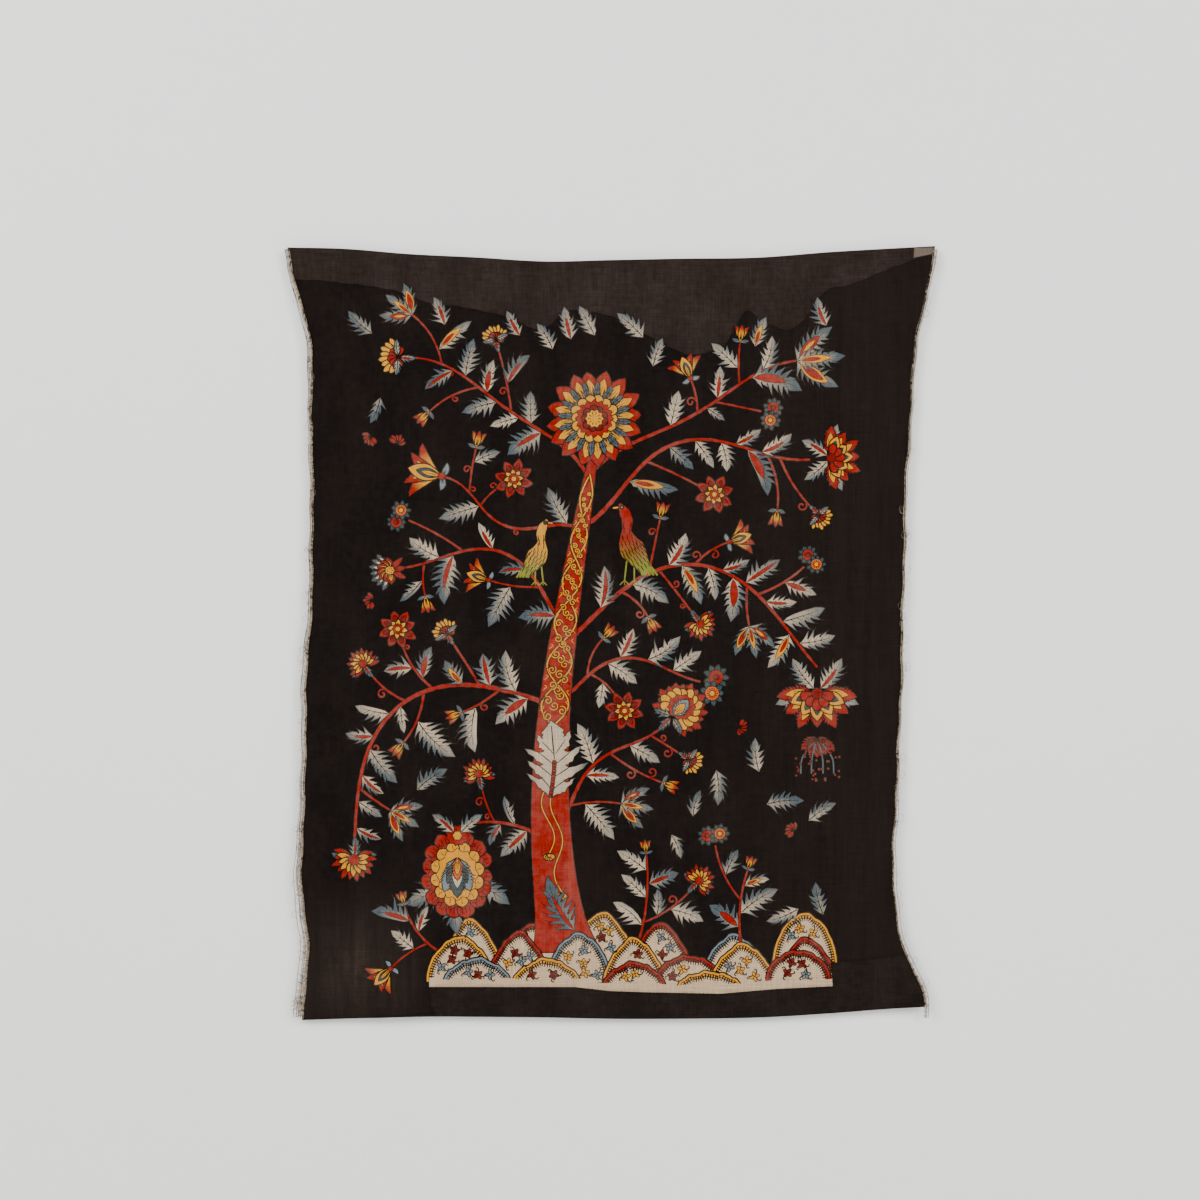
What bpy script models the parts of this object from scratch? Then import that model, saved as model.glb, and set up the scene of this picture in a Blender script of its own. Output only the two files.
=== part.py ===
"""Kalamkari panel hung by its two top corners: a hemmed ground cloth with an old painted cloth sewn on its front.

Frame: metres, +Z up, the painted side faces -Y. The origin is the middle of the top edge, in the middle of
the ground cloth's thickness, where the panel touches the wall plane behind it.
"""

import bmesh
import bpy
import numpy as np

MM = 0.001

# Driving sizes, in millimetres.
CLOTH_THICK = 1.0
LAYER_GAP = 0.3
HEM_DEPTH = 12.0
HEM_EXTRA = 1.1
HEM_STEP = 1.0
COLUMNS = 22
FIELD_ROWS = 26

# The panel's outline as it hangs. Each side bows inwards between its corners, the top edge sags.
# Columns: height, left edge, right edge.
SIDES = [
    (21, -487, 489),
    (-30, -475, 480),
    (-105, -453, 463),
    (-210, -448, 453),
    (-330, -448, 444),
    (-510, -449, 441),
    (-660, -457, 436),
    (-810, -460, 429),
    (-915, -465, 427),
    (-1035, -453, 442),
    (-1095, -459, 470),
    (-1141, -461, 472),
]
# Columns: distance across, top edge, bottom edge.
ENDS = [
    (-487, 19, -1141),
    (-400, 17, -1138),
    (-300, 9, -1135),
    (-200, 4, -1135),
    (-97, -2, -1136),
    (0, 0, -1138),
    (100, 2, -1138),
    (226, 4, -1136),
    (330, 12, -1130),
    (433, 18, -1122),
    (489, 21, -1119),
]

# Soft folds, each a ridge towards the front along a straight line, fading to nothing at its two ends.
# Columns: name, from x, from z, to x, to z, half width, height.
FOLDS = [
    ("belly", -120, -420, 60, -980, 260, 5.0),
    ("right corner pull", 470, -30, 130, -210, 40, 3.5),
    ("left corner pull", -460, -40, -190, -200, 40, 3.0),
    ("bottom left swag", -450, -930, -300, -1160, 38, 5.0),
    ("bottom right flare", 480, -1150, 360, -960, 42, 5.5),
    ("right pleat", 375, -560, 380, -1010, 34, 3.0),
    ("left pleat", -395, -500, -400, -900, 40, 2.5),
    ("hem roll", -330, -1105, 330, -1110, 40, 2.5),
]
# The top edge lies on the wall plane down to this height, and the folds start below it.
FLAT_BELOW_TOP = 30.0
FOLDS_FULL_AT = 170.0

# Where the painted cloth was cut out, from leaf tip to leaf tip. Columns: distance across, height.
UPPER_CUT = [
    (-500, -29),
    (-405, -34),
    (-322, -46),
    (-202, -75),
    (-108, -105),
    (-66, -77),
    (7, -87),
    (84, -129),
    (120, -142),
    (168, -132),
    (207, -75),
    (225, -90),
    (270, -105),
    (327, -45),
    (387, -27),
    (453, -1),
    (500, 8),
]
LOWER_CUT = [
    (-500, -1139),
    (-262, -1131),
    (-270, -1110),
    (-273, -1090),
    (-52, -1090),
    (165, -1099),
    (334, -1089),
    (331, -1054),
    (500, -1040),
]

# The ravelled side edges: thread tufts that stand out past the painted cloth's sides.
TUFT_PITCH = 16.0
TUFT_ROOT = 1.4
TUFT_LENGTH = 5.5
TUFT_SPREAD = 2.6
# Columns: node name, side of the panel, top of the edge, bottom of the edge.
FRAYED_EDGES = [
    ("left_frayed_edge", -1, -34, -1135),
    ("right_frayed_edge", 1, -2, -1040),
]

# The pale patch on the top right corner. Columns: distance across, height.
PATCH_OUTLINE = [(455, 3), (484, 9), (485, 19), (456, 18)]

# Columns: material name, colour, roughness.
FINISHES = {
    "ground_cotton": ((0.022, 0.017, 0.015), 0.95),
    "painted_cotton": ((0.010, 0.008, 0.007), 0.95),
    "raw_thread": ((0.52, 0.42, 0.31), 0.95),
    "pale_cotton": ((0.075, 0.058, 0.048), 0.95),
}


def smooth_curve(table, column, at):
    """Catmull-Rom curve through one column of a table, read at any value of the first column."""
    rows = np.array(sorted(table), float)
    knots, values = rows[:, 0], rows[:, column]
    slopes = np.gradient(values, knots)
    at = np.clip(at, knots[0], knots[-1])
    cell = np.clip(np.searchsorted(knots, at) - 1, 0, len(knots) - 2)
    span = knots[cell + 1] - knots[cell]
    s = (at - knots[cell]) / span
    return (
        (1 + 2 * s) * (1 - s) ** 2 * values[cell]
        + s * (1 - s) ** 2 * span * slopes[cell]
        + s**2 * (3 - 2 * s) * values[cell + 1]
        + s**2 * (s - 1) * span * slopes[cell + 1]
    )


def smoothstep(t):
    t = np.clip(t, 0, 1)
    return t * t * (3 - 2 * t)


def bulge(x, z):
    """How far the hanging cloth stands out from the wall plane, in millimetres, at a place on the panel."""
    total = np.zeros_like(x)
    for _, x0, z0, x1, z1, half_width, height in FOLDS:
        run = np.hypot(x1 - x0, z1 - z0)
        along = ((x - x0) * (x1 - x0) + (z - z0) * (z1 - z0)) / run**2
        across = ((x - x0) * (z1 - z0) - (z - z0) * (x1 - x0)) / run
        fade = smoothstep(0.5 + 1.4 * (0.5 - np.abs(along - 0.5)))
        total += height * fade * np.exp(-((across / half_width) ** 2))
    below_top = smooth_curve(ENDS, 1, x) - z
    return total * smoothstep((below_top - FLAT_BELOW_TOP) / (FOLDS_FULL_AT - FLAT_BELOW_TOP))


def hung_grid(across, up):
    """Places (x, z) on the hung panel for shares across (0 left, 1 right) and up (0 bottom, 1 top).

    A Coons patch: the four edge curves are blended, and the bilinear blend of the corners is taken off.
    """
    u, t = np.meshgrid(across, up)
    top_left, top_right = np.array([-487.0, 19.0]), np.array([489.0, 21.0])
    low_left, low_right = np.array([-461.0, -1141.0]), np.array([472.0, -1119.0])

    def side(column, low, high):
        z = low[1] + (high[1] - low[1]) * t
        return np.stack([smooth_curve(SIDES, column, z), z], axis=-1)

    def end(column, left, right):
        x = left[0] + (right[0] - left[0]) * u
        return np.stack([x, smooth_curve(ENDS, column, x)], axis=-1)

    left, right = side(1, low_left, top_left), side(2, low_right, top_right)
    top, bottom = end(1, top_left, top_right), end(2, low_left, low_right)
    u, t = u[..., None], t[..., None]
    corners = (
        (1 - u) * (1 - t) * low_left + u * (1 - t) * low_right + (1 - u) * t * top_left + u * t * top_right
    )
    place = (1 - u) * left + u * right + (1 - t) * bottom + t * top - corners
    return place[..., 0], place[..., 1]


def panel_rows():
    """Shares up the panel: the field in even rows, with a close pair of rows at each hem line."""
    height = -ENDS[5][2]
    hem, step = HEM_DEPTH / height, (HEM_DEPTH + HEM_STEP) / height
    return np.concatenate([[0, hem], np.linspace(step, 1 - step, FIELD_ROWS + 1), [1 - hem, 1]])


def material(name):
    colour, roughness = FINISHES[name]
    made = bpy.data.materials.new(name)
    made.use_nodes = True
    shader = made.node_tree.nodes["Principled BSDF"]
    shader.inputs["Base Color"].default_value = (*colour, 1)
    shader.inputs["Roughness"].default_value = roughness
    shader.inputs["Metallic"].default_value = 0.0
    made.diffuse_color = (*colour, 1)
    return made


def add_object(name, points, faces, finish):
    """One named object from points in millimetres and faces that already point outwards."""
    mesh = bpy.data.meshes.new(name)
    mesh.from_pydata((np.asarray(points) * MM).tolist(), [], faces)
    mesh.update()
    made = bpy.data.objects.new(name, mesh)
    made.data.materials.append(material(finish))
    bpy.context.collection.objects.link(made)
    return made


def shell_faces(rows, columns):
    """Triangles of a closed sheet: a front grid, a back grid numbered after it, and the rim between them."""
    index = np.arange(rows * columns).reshape(rows, columns)
    low_left, low_right = index[:-1, :-1].ravel(), index[:-1, 1:].ravel()
    high_left, high_right = index[1:, :-1].ravel(), index[1:, 1:].ravel()
    front = np.concatenate(
        [
            np.stack([low_left, low_right, high_right], axis=1),
            np.stack([low_left, high_right, high_left], axis=1),
        ]
    )
    back = front[:, ::-1] + rows * columns
    loop = np.concatenate([index[0, :-1], index[:-1, -1], index[-1, :0:-1], index[:0:-1, 0]])
    after, behind = np.roll(loop, -1), rows * columns
    rim = np.concatenate(
        [
            np.stack([loop, loop + behind, after + behind], axis=1),
            np.stack([loop, after + behind, after], axis=1),
        ]
    )
    return np.concatenate([front, back, rim]).tolist()


def add_sheet(name, front_gap, finish, hemmed):
    """A sheet on the panel's hung surface. Its front lies front_gap ahead of the ground cloth's middle."""
    up = panel_rows()
    x, z = hung_grid(np.linspace(0, 1, COLUMNS + 1), up)
    middle = -bulge(x, z)
    thick = np.full_like(x, CLOTH_THICK)
    if hemmed:
        thick[[0, 1, -2, -1]] += HEM_EXTRA
    front = np.stack([x, middle - front_gap, z], axis=-1)
    back = np.stack([x, middle - front_gap + thick, z], axis=-1)
    points = np.concatenate([front.reshape(-1, 3), back.reshape(-1, 3)])
    return add_object(name, points, shell_faces(*x.shape), finish)


def add_cutter(name, outline, far_height):
    """A prism through the panel, between a cut line and a level well clear of the cloth."""
    reach = 40.0
    loop = outline + [(outline[-1][0], far_height), (outline[0][0], far_height)]
    count = len(loop)
    points = [(x, y, z) for y in (-reach, reach) for x, z in loop]
    walls = [(k, (k + 1) % count, (k + 1) % count + count, k + count) for k in range(count)]
    caps = [tuple(range(count)), tuple(range(2 * count - 1, count - 1, -1))]
    made = add_object(name, points, walls + caps, "ground_cotton")
    shape = bmesh.new()
    shape.from_mesh(made.data)
    bmesh.ops.recalc_face_normals(shape, faces=shape.faces)
    shape.to_mesh(made.data)
    shape.free()
    made.hide_render = True
    made.display_type = "WIRE"
    return made


def cut(piece, cutter):
    boolean = piece.modifiers.new("cut_" + cutter.name, "BOOLEAN")
    boolean.operation = "DIFFERENCE"
    boolean.solver = "EXACT"
    boolean.object = cutter


def add_frayed_edge(name, side, top, bottom, front_gap):
    """A comb of thread tufts along one side of the painted cloth, on the straight runs between its rows."""
    up = panel_rows()
    x, z = hung_grid(np.array([0.0 if side < 0 else 1.0]), up)
    x, z = x[:, 0], z[:, 0]
    y = -bulge(x, z) - front_gap
    count = 2 * int((top - bottom) / TUFT_PITCH) + 1
    heights = np.linspace(bottom, top, count)
    root_x, depth = np.interp(heights, z, x) + side * LAYER_GAP, np.interp(heights, z, y)
    number = np.arange(count)
    tuft = TUFT_LENGTH + TUFT_SPREAD * np.sin(2.3 * number) * np.sin(0.37 * number + 1)
    reach = np.where(number % 2 == 1, tuft, TUFT_ROOT)
    inner = np.stack([root_x, depth, heights], axis=1)
    outer = np.stack([root_x + side * reach, depth, heights], axis=1)
    left, right = (outer, inner) if side < 0 else (inner, outer)
    front = np.stack([left, right], axis=1)
    back = front + np.array([0, CLOTH_THICK, 0])
    points = np.concatenate([front.reshape(-1, 3), back.reshape(-1, 3)])
    return add_object(name, points, shell_faces(count, 2), "raw_thread")


def add_patch(front_gap):
    """The flat patch on the top right corner, ahead of the ground cloth and above the painted cloth's cut."""
    front = [(x, -front_gap, z) for x, z in PATCH_OUTLINE]
    back = [(x, CLOTH_THICK - front_gap, z) for x, z in PATCH_OUTLINE]
    walls = [(k, k + 4, (k + 1) % 4 + 4, (k + 1) % 4) for k in range(4)]
    return add_object("corner_patch", front + back, [(0, 1, 2, 3), (7, 6, 5, 4), *walls], "pale_cotton")


def build():
    for old in list(bpy.data.objects):
        bpy.data.objects.remove(old)
    painted_gap = 1.5 * CLOTH_THICK + LAYER_GAP
    add_sheet("ground_cloth", CLOTH_THICK / 2, "ground_cotton", hemmed=True)
    painted = add_sheet("painted_cloth", painted_gap, "painted_cotton", hemmed=False)
    cut(painted, add_cutter("upper_cutter", UPPER_CUT, 100.0))
    cut(painted, add_cutter("lower_cutter", LOWER_CUT, -1250.0))
    for name, side, top, bottom in FRAYED_EDGES:
        add_frayed_edge(name, side, top, bottom, painted_gap)
    add_patch(painted_gap)


build()
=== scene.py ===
# %% [markdown]
# # A painted cotton wall hanging
# This script dresses a plain set of solids as a hand-painted and dyed cotton hanging: a flowering tree on a
# near-black ground, sewn on a dark brown cloth. Every cell does one step and prints what it made. Sizes are
# in millimetres until the very last moment, when the meshes are put in metres.

import bpy
import numpy as np
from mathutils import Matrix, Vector
from mathutils.geometry import delaunay_2d_cdt


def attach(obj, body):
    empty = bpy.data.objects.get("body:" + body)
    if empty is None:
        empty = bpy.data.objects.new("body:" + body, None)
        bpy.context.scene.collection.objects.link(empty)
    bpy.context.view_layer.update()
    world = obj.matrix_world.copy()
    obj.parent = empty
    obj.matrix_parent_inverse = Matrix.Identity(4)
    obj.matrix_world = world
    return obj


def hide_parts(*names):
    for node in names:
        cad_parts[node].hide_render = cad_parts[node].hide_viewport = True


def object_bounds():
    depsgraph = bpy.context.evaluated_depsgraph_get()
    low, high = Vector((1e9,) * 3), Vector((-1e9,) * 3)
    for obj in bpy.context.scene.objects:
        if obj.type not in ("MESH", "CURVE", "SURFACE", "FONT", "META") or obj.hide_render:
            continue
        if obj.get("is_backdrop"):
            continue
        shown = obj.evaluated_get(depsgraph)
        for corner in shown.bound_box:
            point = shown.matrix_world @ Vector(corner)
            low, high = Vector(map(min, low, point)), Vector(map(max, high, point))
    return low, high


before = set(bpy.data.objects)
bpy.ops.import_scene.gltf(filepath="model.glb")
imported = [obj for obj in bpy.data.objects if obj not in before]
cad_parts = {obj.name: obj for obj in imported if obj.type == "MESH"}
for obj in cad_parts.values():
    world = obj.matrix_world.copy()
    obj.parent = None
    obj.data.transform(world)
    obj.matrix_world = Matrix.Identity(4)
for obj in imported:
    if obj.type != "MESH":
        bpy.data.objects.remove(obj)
SOLID_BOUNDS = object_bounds()
MM = 0.001
ROOT = "root"
print("solids:", sorted(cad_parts))

# %% [markdown]
# ## How the cloth hangs
# The panel is held by its two top corners. Its own weight makes the top edge sag, the sides draw in and the
# lower corners flare. The four edges are smooth curves through a few measured places, and everything between
# them is blended from those edges, which is how a pattern cutter fills a shape from its outline. The folds
# are low, soft ridges, placed one by one where the weight pulls the cloth.

# %% The four edges and the folds
# Columns: height, left edge, right edge.
SIDES = [
    (21, -487, 489),
    (-30, -475, 480),
    (-105, -453, 463),
    (-210, -448, 453),
    (-330, -448, 444),
    (-510, -449, 441),
    (-660, -457, 436),
    (-810, -460, 429),
    (-915, -465, 427),
    (-1035, -453, 442),
    (-1095, -459, 470),
    (-1141, -461, 472),
]
# Columns: distance across, top edge, bottom edge.
ENDS = [
    (-487, 19, -1141),
    (-400, 17, -1138),
    (-300, 9, -1135),
    (-200, 4, -1135),
    (-97, -2, -1136),
    (0, 0, -1138),
    (100, 2, -1138),
    (226, 4, -1136),
    (330, 12, -1130),
    (433, 18, -1122),
    (489, 21, -1119),
]
# Columns: name, from x, from z, to x, to z, half width, height.
FOLDS = [
    ("belly", -120, -420, 60, -980, 260, 5.0),
    ("right corner pull", 470, -30, 130, -210, 40, 3.5),
    ("left corner pull", -460, -40, -190, -200, 40, 3.0),
    ("bottom left swag", -450, -930, -300, -1160, 38, 5.0),
    ("bottom right flare", 480, -1150, 360, -960, 42, 5.5),
    ("right pleat", 375, -560, 380, -1010, 34, 3.0),
    ("left pleat", -395, -500, -400, -900, 40, 2.5),
    ("hem roll", -330, -1105, 330, -1110, 40, 2.5),
]
# Small creases that only the thin cloth shows, not the solid: the same columns.
CREASES = [
    ("corner crease", -430, -1010, -340, -1130, 15, 4.2),
    ("corner crease foot", -395, -1090, -350, -1135, 9, 2.4),
    ("old fold line", 428, -280, 420, -425, 3.0, -2.2),
    ("right ripple one", 372, -440, 378, -900, 7, 1.6),
    ("right ripple two", 392, -470, 398, -880, 6, -1.4),
    ("right ripple three", 410, -500, 414, -860, 6, 1.4),
    ("right ripple four", 350, -520, 352, -940, 8, -1.3),
    ("left ripple one", -418, -320, -422, -720, 7, 1.4),
    ("left ripple two", -404, -360, -408, -760, 6, -1.1),
    ("low crease", -390, -1056, -352, -1054, 3, -1.2),
    ("hem pucker left", -440, -1112, -180, -1118, 9, 1.9),
    ("hem pucker right", 200, -1108, 460, -1098, 9, 2.1),
    ("top pucker", -380, -8, -60, -24, 10, 1.5),
    ("top right pull", 455, -8, 250, -52, 10, 2.4),
]
FLAT_BELOW_TOP = 30.0
FOLDS_FULL_AT = 170.0


def cubic(s, span, first, last, first_slope, last_slope):
    """The cubic between two values with these slopes at its ends, at shares s of the span."""
    return (
        (1 + 2 * s) * (1 - s) ** 2 * first
        + s * (1 - s) ** 2 * span * first_slope
        + s**2 * (3 - 2 * s) * last
        + s**2 * (s - 1) * span * last_slope
    )


def smooth_curve(table, column, at):
    """A curve through one column of a table: between two rows it is the cubic that matches both slopes."""
    rows = np.array(sorted(table), float)
    knots, values = rows[:, 0], rows[:, column]
    slopes = np.gradient(values, knots)
    at = np.clip(at, knots[0], knots[-1])
    cell = np.clip(np.searchsorted(knots, at) - 1, 0, len(knots) - 2)
    span = knots[cell + 1] - knots[cell]
    s = (at - knots[cell]) / span
    return cubic(s, span, values[cell], values[cell + 1], slopes[cell], slopes[cell + 1])


def smoothstep(t):
    """An even ease from 0 to 1: three t squared less two t cubed."""
    t = np.clip(t, 0, 1)
    return t * t * (3 - 2 * t)


def ridges(table, x, z):
    """The sum of straight soft ridges: height times a bell curve across, faded out towards both ends."""
    total = np.zeros_like(x)
    for _, x0, z0, x1, z1, half_width, height in table:
        run = np.hypot(x1 - x0, z1 - z0)
        along = ((x - x0) * (x1 - x0) + (z - z0) * (z1 - z0)) / run**2
        across = ((x - x0) * (z1 - z0) - (z - z0) * (x1 - x0)) / run
        fade = smoothstep(0.5 + 1.4 * (0.5 - np.abs(along - 0.5)))
        total += height * fade * np.exp(-((across / half_width) ** 2))
    return total


def bulge(x, z):
    """How far the cloth stands out from the wall plane, in millimetres, at a place on the panel."""
    below_top = smooth_curve(ENDS, 1, x) - z
    free = smoothstep((below_top - FLAT_BELOW_TOP) / (FOLDS_FULL_AT - FLAT_BELOW_TOP))
    return ridges(FOLDS, x, z) * free + ridges(CREASES, x, z) * smoothstep(below_top / 20)


def wobble(z, start):
    """The small unevenness of a raw edge: three sines of different lengths, in millimetres."""
    z = np.asarray(z, float)
    return 0.8 * np.sin(z / 11 + start) + 0.9 * np.sin(z / 29 + 2 * start) + 0.9 * np.sin(z / 67 + 3 * start)


def left_edge(z):
    """The left edge's distance across at each height."""
    return smooth_curve(SIDES, 1, z) + wobble(z, 0.4)


def right_edge(z):
    """The right edge's distance across at each height."""
    return smooth_curve(SIDES, 2, z) + wobble(z, 2.1)


def hung_grid(across, up):
    """Places on the panel for shares across and up: the four edges blended, less the blend of the corners."""
    u, t = np.meshgrid(across, up)
    corners = np.array([[-461.0, -1141.0], [472.0, -1119.0], [-487.0, 19.0], [489.0, 21.0]])
    corners[:, 0] = [edge(z) for edge, z in zip((left_edge, right_edge) * 2, corners[:, 1])]
    low_left, low_right, top_left, top_right = corners

    def side(edge, low, high):
        """Places along the left or right edge at each share up."""
        z = low[1] + (high[1] - low[1]) * t
        return np.stack([edge(z), z], axis=-1)

    def end(column, left, right):
        """Places along the top or bottom edge at each share across."""
        x = left[0] + (right[0] - left[0]) * u
        return np.stack([x, smooth_curve(ENDS, column, x)], axis=-1)

    left, right = side(left_edge, low_left, top_left), side(right_edge, low_right, top_right)
    top, bottom = end(1, top_left, top_right), end(2, low_left, low_right)
    u, t = u[..., None], t[..., None]
    flat = (1 - u) * (1 - t) * low_left + u * (1 - t) * low_right + (1 - u) * t * top_left + u * t * top_right
    place = (1 - u) * left + u * right + (1 - t) * bottom + t * top - flat
    return place[..., 0], place[..., 1]


shares = np.linspace(0, 1, 60)
print("widest fold stands out", round(float(bulge(*hung_grid(shares, shares)).max()), 1), "mm")

# %% [markdown]
# ## The painter's palette
# The dyes are few: madder red and a darker red, a warm yellow, indigo that runs from grey-blue to a deep
# blue-green where yellow was laid over it, the bare cream of the cotton, and the iron black of the ground and
# of every pen line.

# %% Dyes
DYES = {
    "black": (0.0046, 0.0031, 0.0026),
    "line": (0.0052, 0.0038, 0.0032),
    "red": (0.205, 0.0066, 0.0036),
    "dark": (0.120, 0.0045, 0.0030),
    "yellow": (0.470, 0.200, 0.012),
    "cream": (0.370, 0.290, 0.200),
    "bare": (0.410, 0.290, 0.178),
    "blue": (0.046, 0.064, 0.074),
    "grey": (0.110, 0.140, 0.155),
    "deep": (0.022, 0.043, 0.046),
    "leaf": (0.145, 0.150, 0.016),
    "orange": (0.420, 0.070, 0.010),
}
layers = []


def dye(name):
    """A dye's colour as an array."""
    return np.array(DYES[name])


def lay(shape, colour, tip=None, place=(0, 0), along=(0, 0), across=(0, 0), run=(0, 0, 0)):
    """Lays one closed shape of colour on the cloth, over all that is already there.

    With a tip colour the dye runs from one to the other: the share is run[0] + run[1] s squared + run[2] t
    squared, where s and t are how far a place lies along and across the shape.
    """
    first, last = dye(colour), dye(tip or colour)
    layers.append((np.asarray(shape, float), first, last, place, along, across, run))


print(len(DYES), "dyes")

# %% [markdown]
# ## A pen line
# A reed pen makes a line that swells and thins. Each line here is a narrow closed shape: a smooth curve
# through a few points, with half of the pen's width on either side.


# %% Curves and pen lines
def smooth_line(points, spacing=4.0):
    """Evenly spaced places on a smooth curve through the points (a Catmull-Rom curve)."""
    p = np.asarray(points, float)
    if len(p) == 2:
        count = max(2, int(np.hypot(*(p[1] - p[0])) / spacing) + 1)
        return p[0] + (p[1] - p[0]) * np.linspace(0, 1, count)[:, None]
    reach = np.concatenate([[0], np.cumsum(np.hypot(*np.diff(p, axis=0).T))])
    count = max(3, int(reach[-1] / spacing) + 1)
    at = np.linspace(0, reach[-1], count)
    slopes = np.gradient(p, reach, axis=0)
    cell = np.clip(np.searchsorted(reach, at) - 1, 0, len(reach) - 2)
    span = (reach[cell + 1] - reach[cell])[:, None]
    s = (at[:, None] - reach[cell][:, None]) / span
    return cubic(s, span, p[cell], p[cell + 1], slopes[cell], slopes[cell + 1])


def normals(line, closed=False):
    """Unit directions square to a line, to its left."""
    ahead = np.roll(line, -1, axis=0) - np.roll(line, 1, axis=0) if closed else np.gradient(line, axis=0)
    length = np.maximum(np.hypot(ahead[:, 0], ahead[:, 1]), 1e-9)
    return np.stack([-ahead[:, 1] / length, ahead[:, 0] / length], axis=1)


def ribbon(line, widths):
    """The closed outline of a line of varying width: out along its left side and back along its right."""
    half = normals(line) * (np.broadcast_to(widths, len(line))[:, None] / 2)
    return np.concatenate([line + half, (line - half)[::-1]])


def swollen(shape, by):
    """A closed shape grown outwards by a distance, each point moved square to its neighbours."""
    x, z = shape[:, 0], shape[:, 1]
    turn = np.sign(np.sum(x * np.roll(z, -1) - np.roll(x, -1) * z))
    return shape - normals(shape, closed=True) * by * turn


def pen(points, width, colour="line", spacing=4.0, taper=0.35):
    """A drawn line that starts thin, swells and thins again."""
    line = smooth_line(points, spacing)
    swell = taper + (1 - taper) * np.sin(np.pi * np.linspace(0.08, 0.92, len(line))) ** 0.6
    lay(ribbon(line, width * swell), colour)


def inside(places, shape):
    """Which places lie in a closed shape: those that its outline winds round at least once."""
    x, z = places[:, 0][:, None], places[:, 1][:, None]
    x0, z0 = shape[:, 0], shape[:, 1]
    x1, z1 = np.roll(x0, -1), np.roll(z0, -1)
    side = (x1 - x0) * (z - z0) - (x - x0) * (z1 - z0)
    rising, falling = (z0 <= z) & (z1 > z), (z0 > z) & (z1 <= z)
    return (rising & (side > 0)).sum(axis=1) - (falling & (side < 0)).sum(axis=1) != 0


def outlined(shape, colour, line_width=1.0, **how):
    """A filled shape with a pen line round it."""
    lay(swollen(shape, line_width), "line")
    lay(shape, colour, **how)


print("pen ready")

# %% [markdown]
# ## Leaves
# Nearly every leaf is feathered: pointed fingers lean forward from both sides of a curved midrib and a longer
# lobe ends it. The cream of the cloth is kept at the midrib and indigo is washed in towards the fingertips.
# Some leaves hold a red slit, and some a red or yellow seed. Fine black hairs run on from the fingertips,
# where the wax that kept the dye out had cracked.


# %% Leaf shapes
chance = np.random.default_rng(7)
# Columns: share along one finger's pitch, share of the leaf's half width.
TOOTH = np.array([(0.00, 0.34), (0.28, 0.60), (1.28, 1.14), (0.84, 0.50)])
# Columns: share along the midrib, share of the half width.
LOBE = np.array([(0.79, 0.46), (0.86, 0.34), (0.92, 0.19), (0.965, 0.07)])
SMOOTH_SIDE = np.array([(0.10, 0.24), (0.25, 0.34), (0.45, 0.38), (0.65, 0.36), (0.80, 0.33), (0.92, 0.16)])
PLAIN_SIDE = np.array([(0.15, 0.45), (0.40, 0.95), (0.60, 0.90), (0.80, 0.50)])


def leaf_frame(base, tip, bend):
    """A midrib bowed to its left by bend times its length: places, directions and the leaf's length."""
    base, tip = np.asarray(base, float), np.asarray(tip, float)
    run = tip - base
    length = np.hypot(*run)
    left = np.array([-run[1], run[0]]) / length

    def place(s, h):
        """The place a share s along the midrib and h millimetres to its left."""
        s, h = np.asarray(s, float), np.asarray(h, float)
        slope = run + left * (4 * bend * length * (1 - 2 * s))[..., None]
        side = np.stack([-slope[..., 1], slope[..., 0]], axis=-1)
        side /= np.hypot(side[..., 0], side[..., 1])[..., None]
        bow = left * (4 * bend * length * s * (1 - s))[..., None]
        return base + run * s[..., None] + bow + side * h[..., None]

    return place, run, left, length


def belly(s):
    """How full a leaf is along its length, 1 at its widest: a sine pushed towards the base."""
    return np.sin(np.pi * np.clip(s, 0, 1) ** 0.72) ** 0.62


def fingers(count, start=0.05, stop=0.76):
    """One side of a feathered leaf as pairs of share along and share of half width."""
    pitch = (stop - start) / count
    s = start + pitch * (np.arange(count)[:, None] + TOOTH[:, 0])
    h = belly(s) * TOOTH[:, 1] * (1 + 0.20 * chance.standard_normal((count, 1)) * (TOOTH[:, 1] > 0.6))
    return np.stack([s.ravel(), h.ravel()], axis=1)


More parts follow.
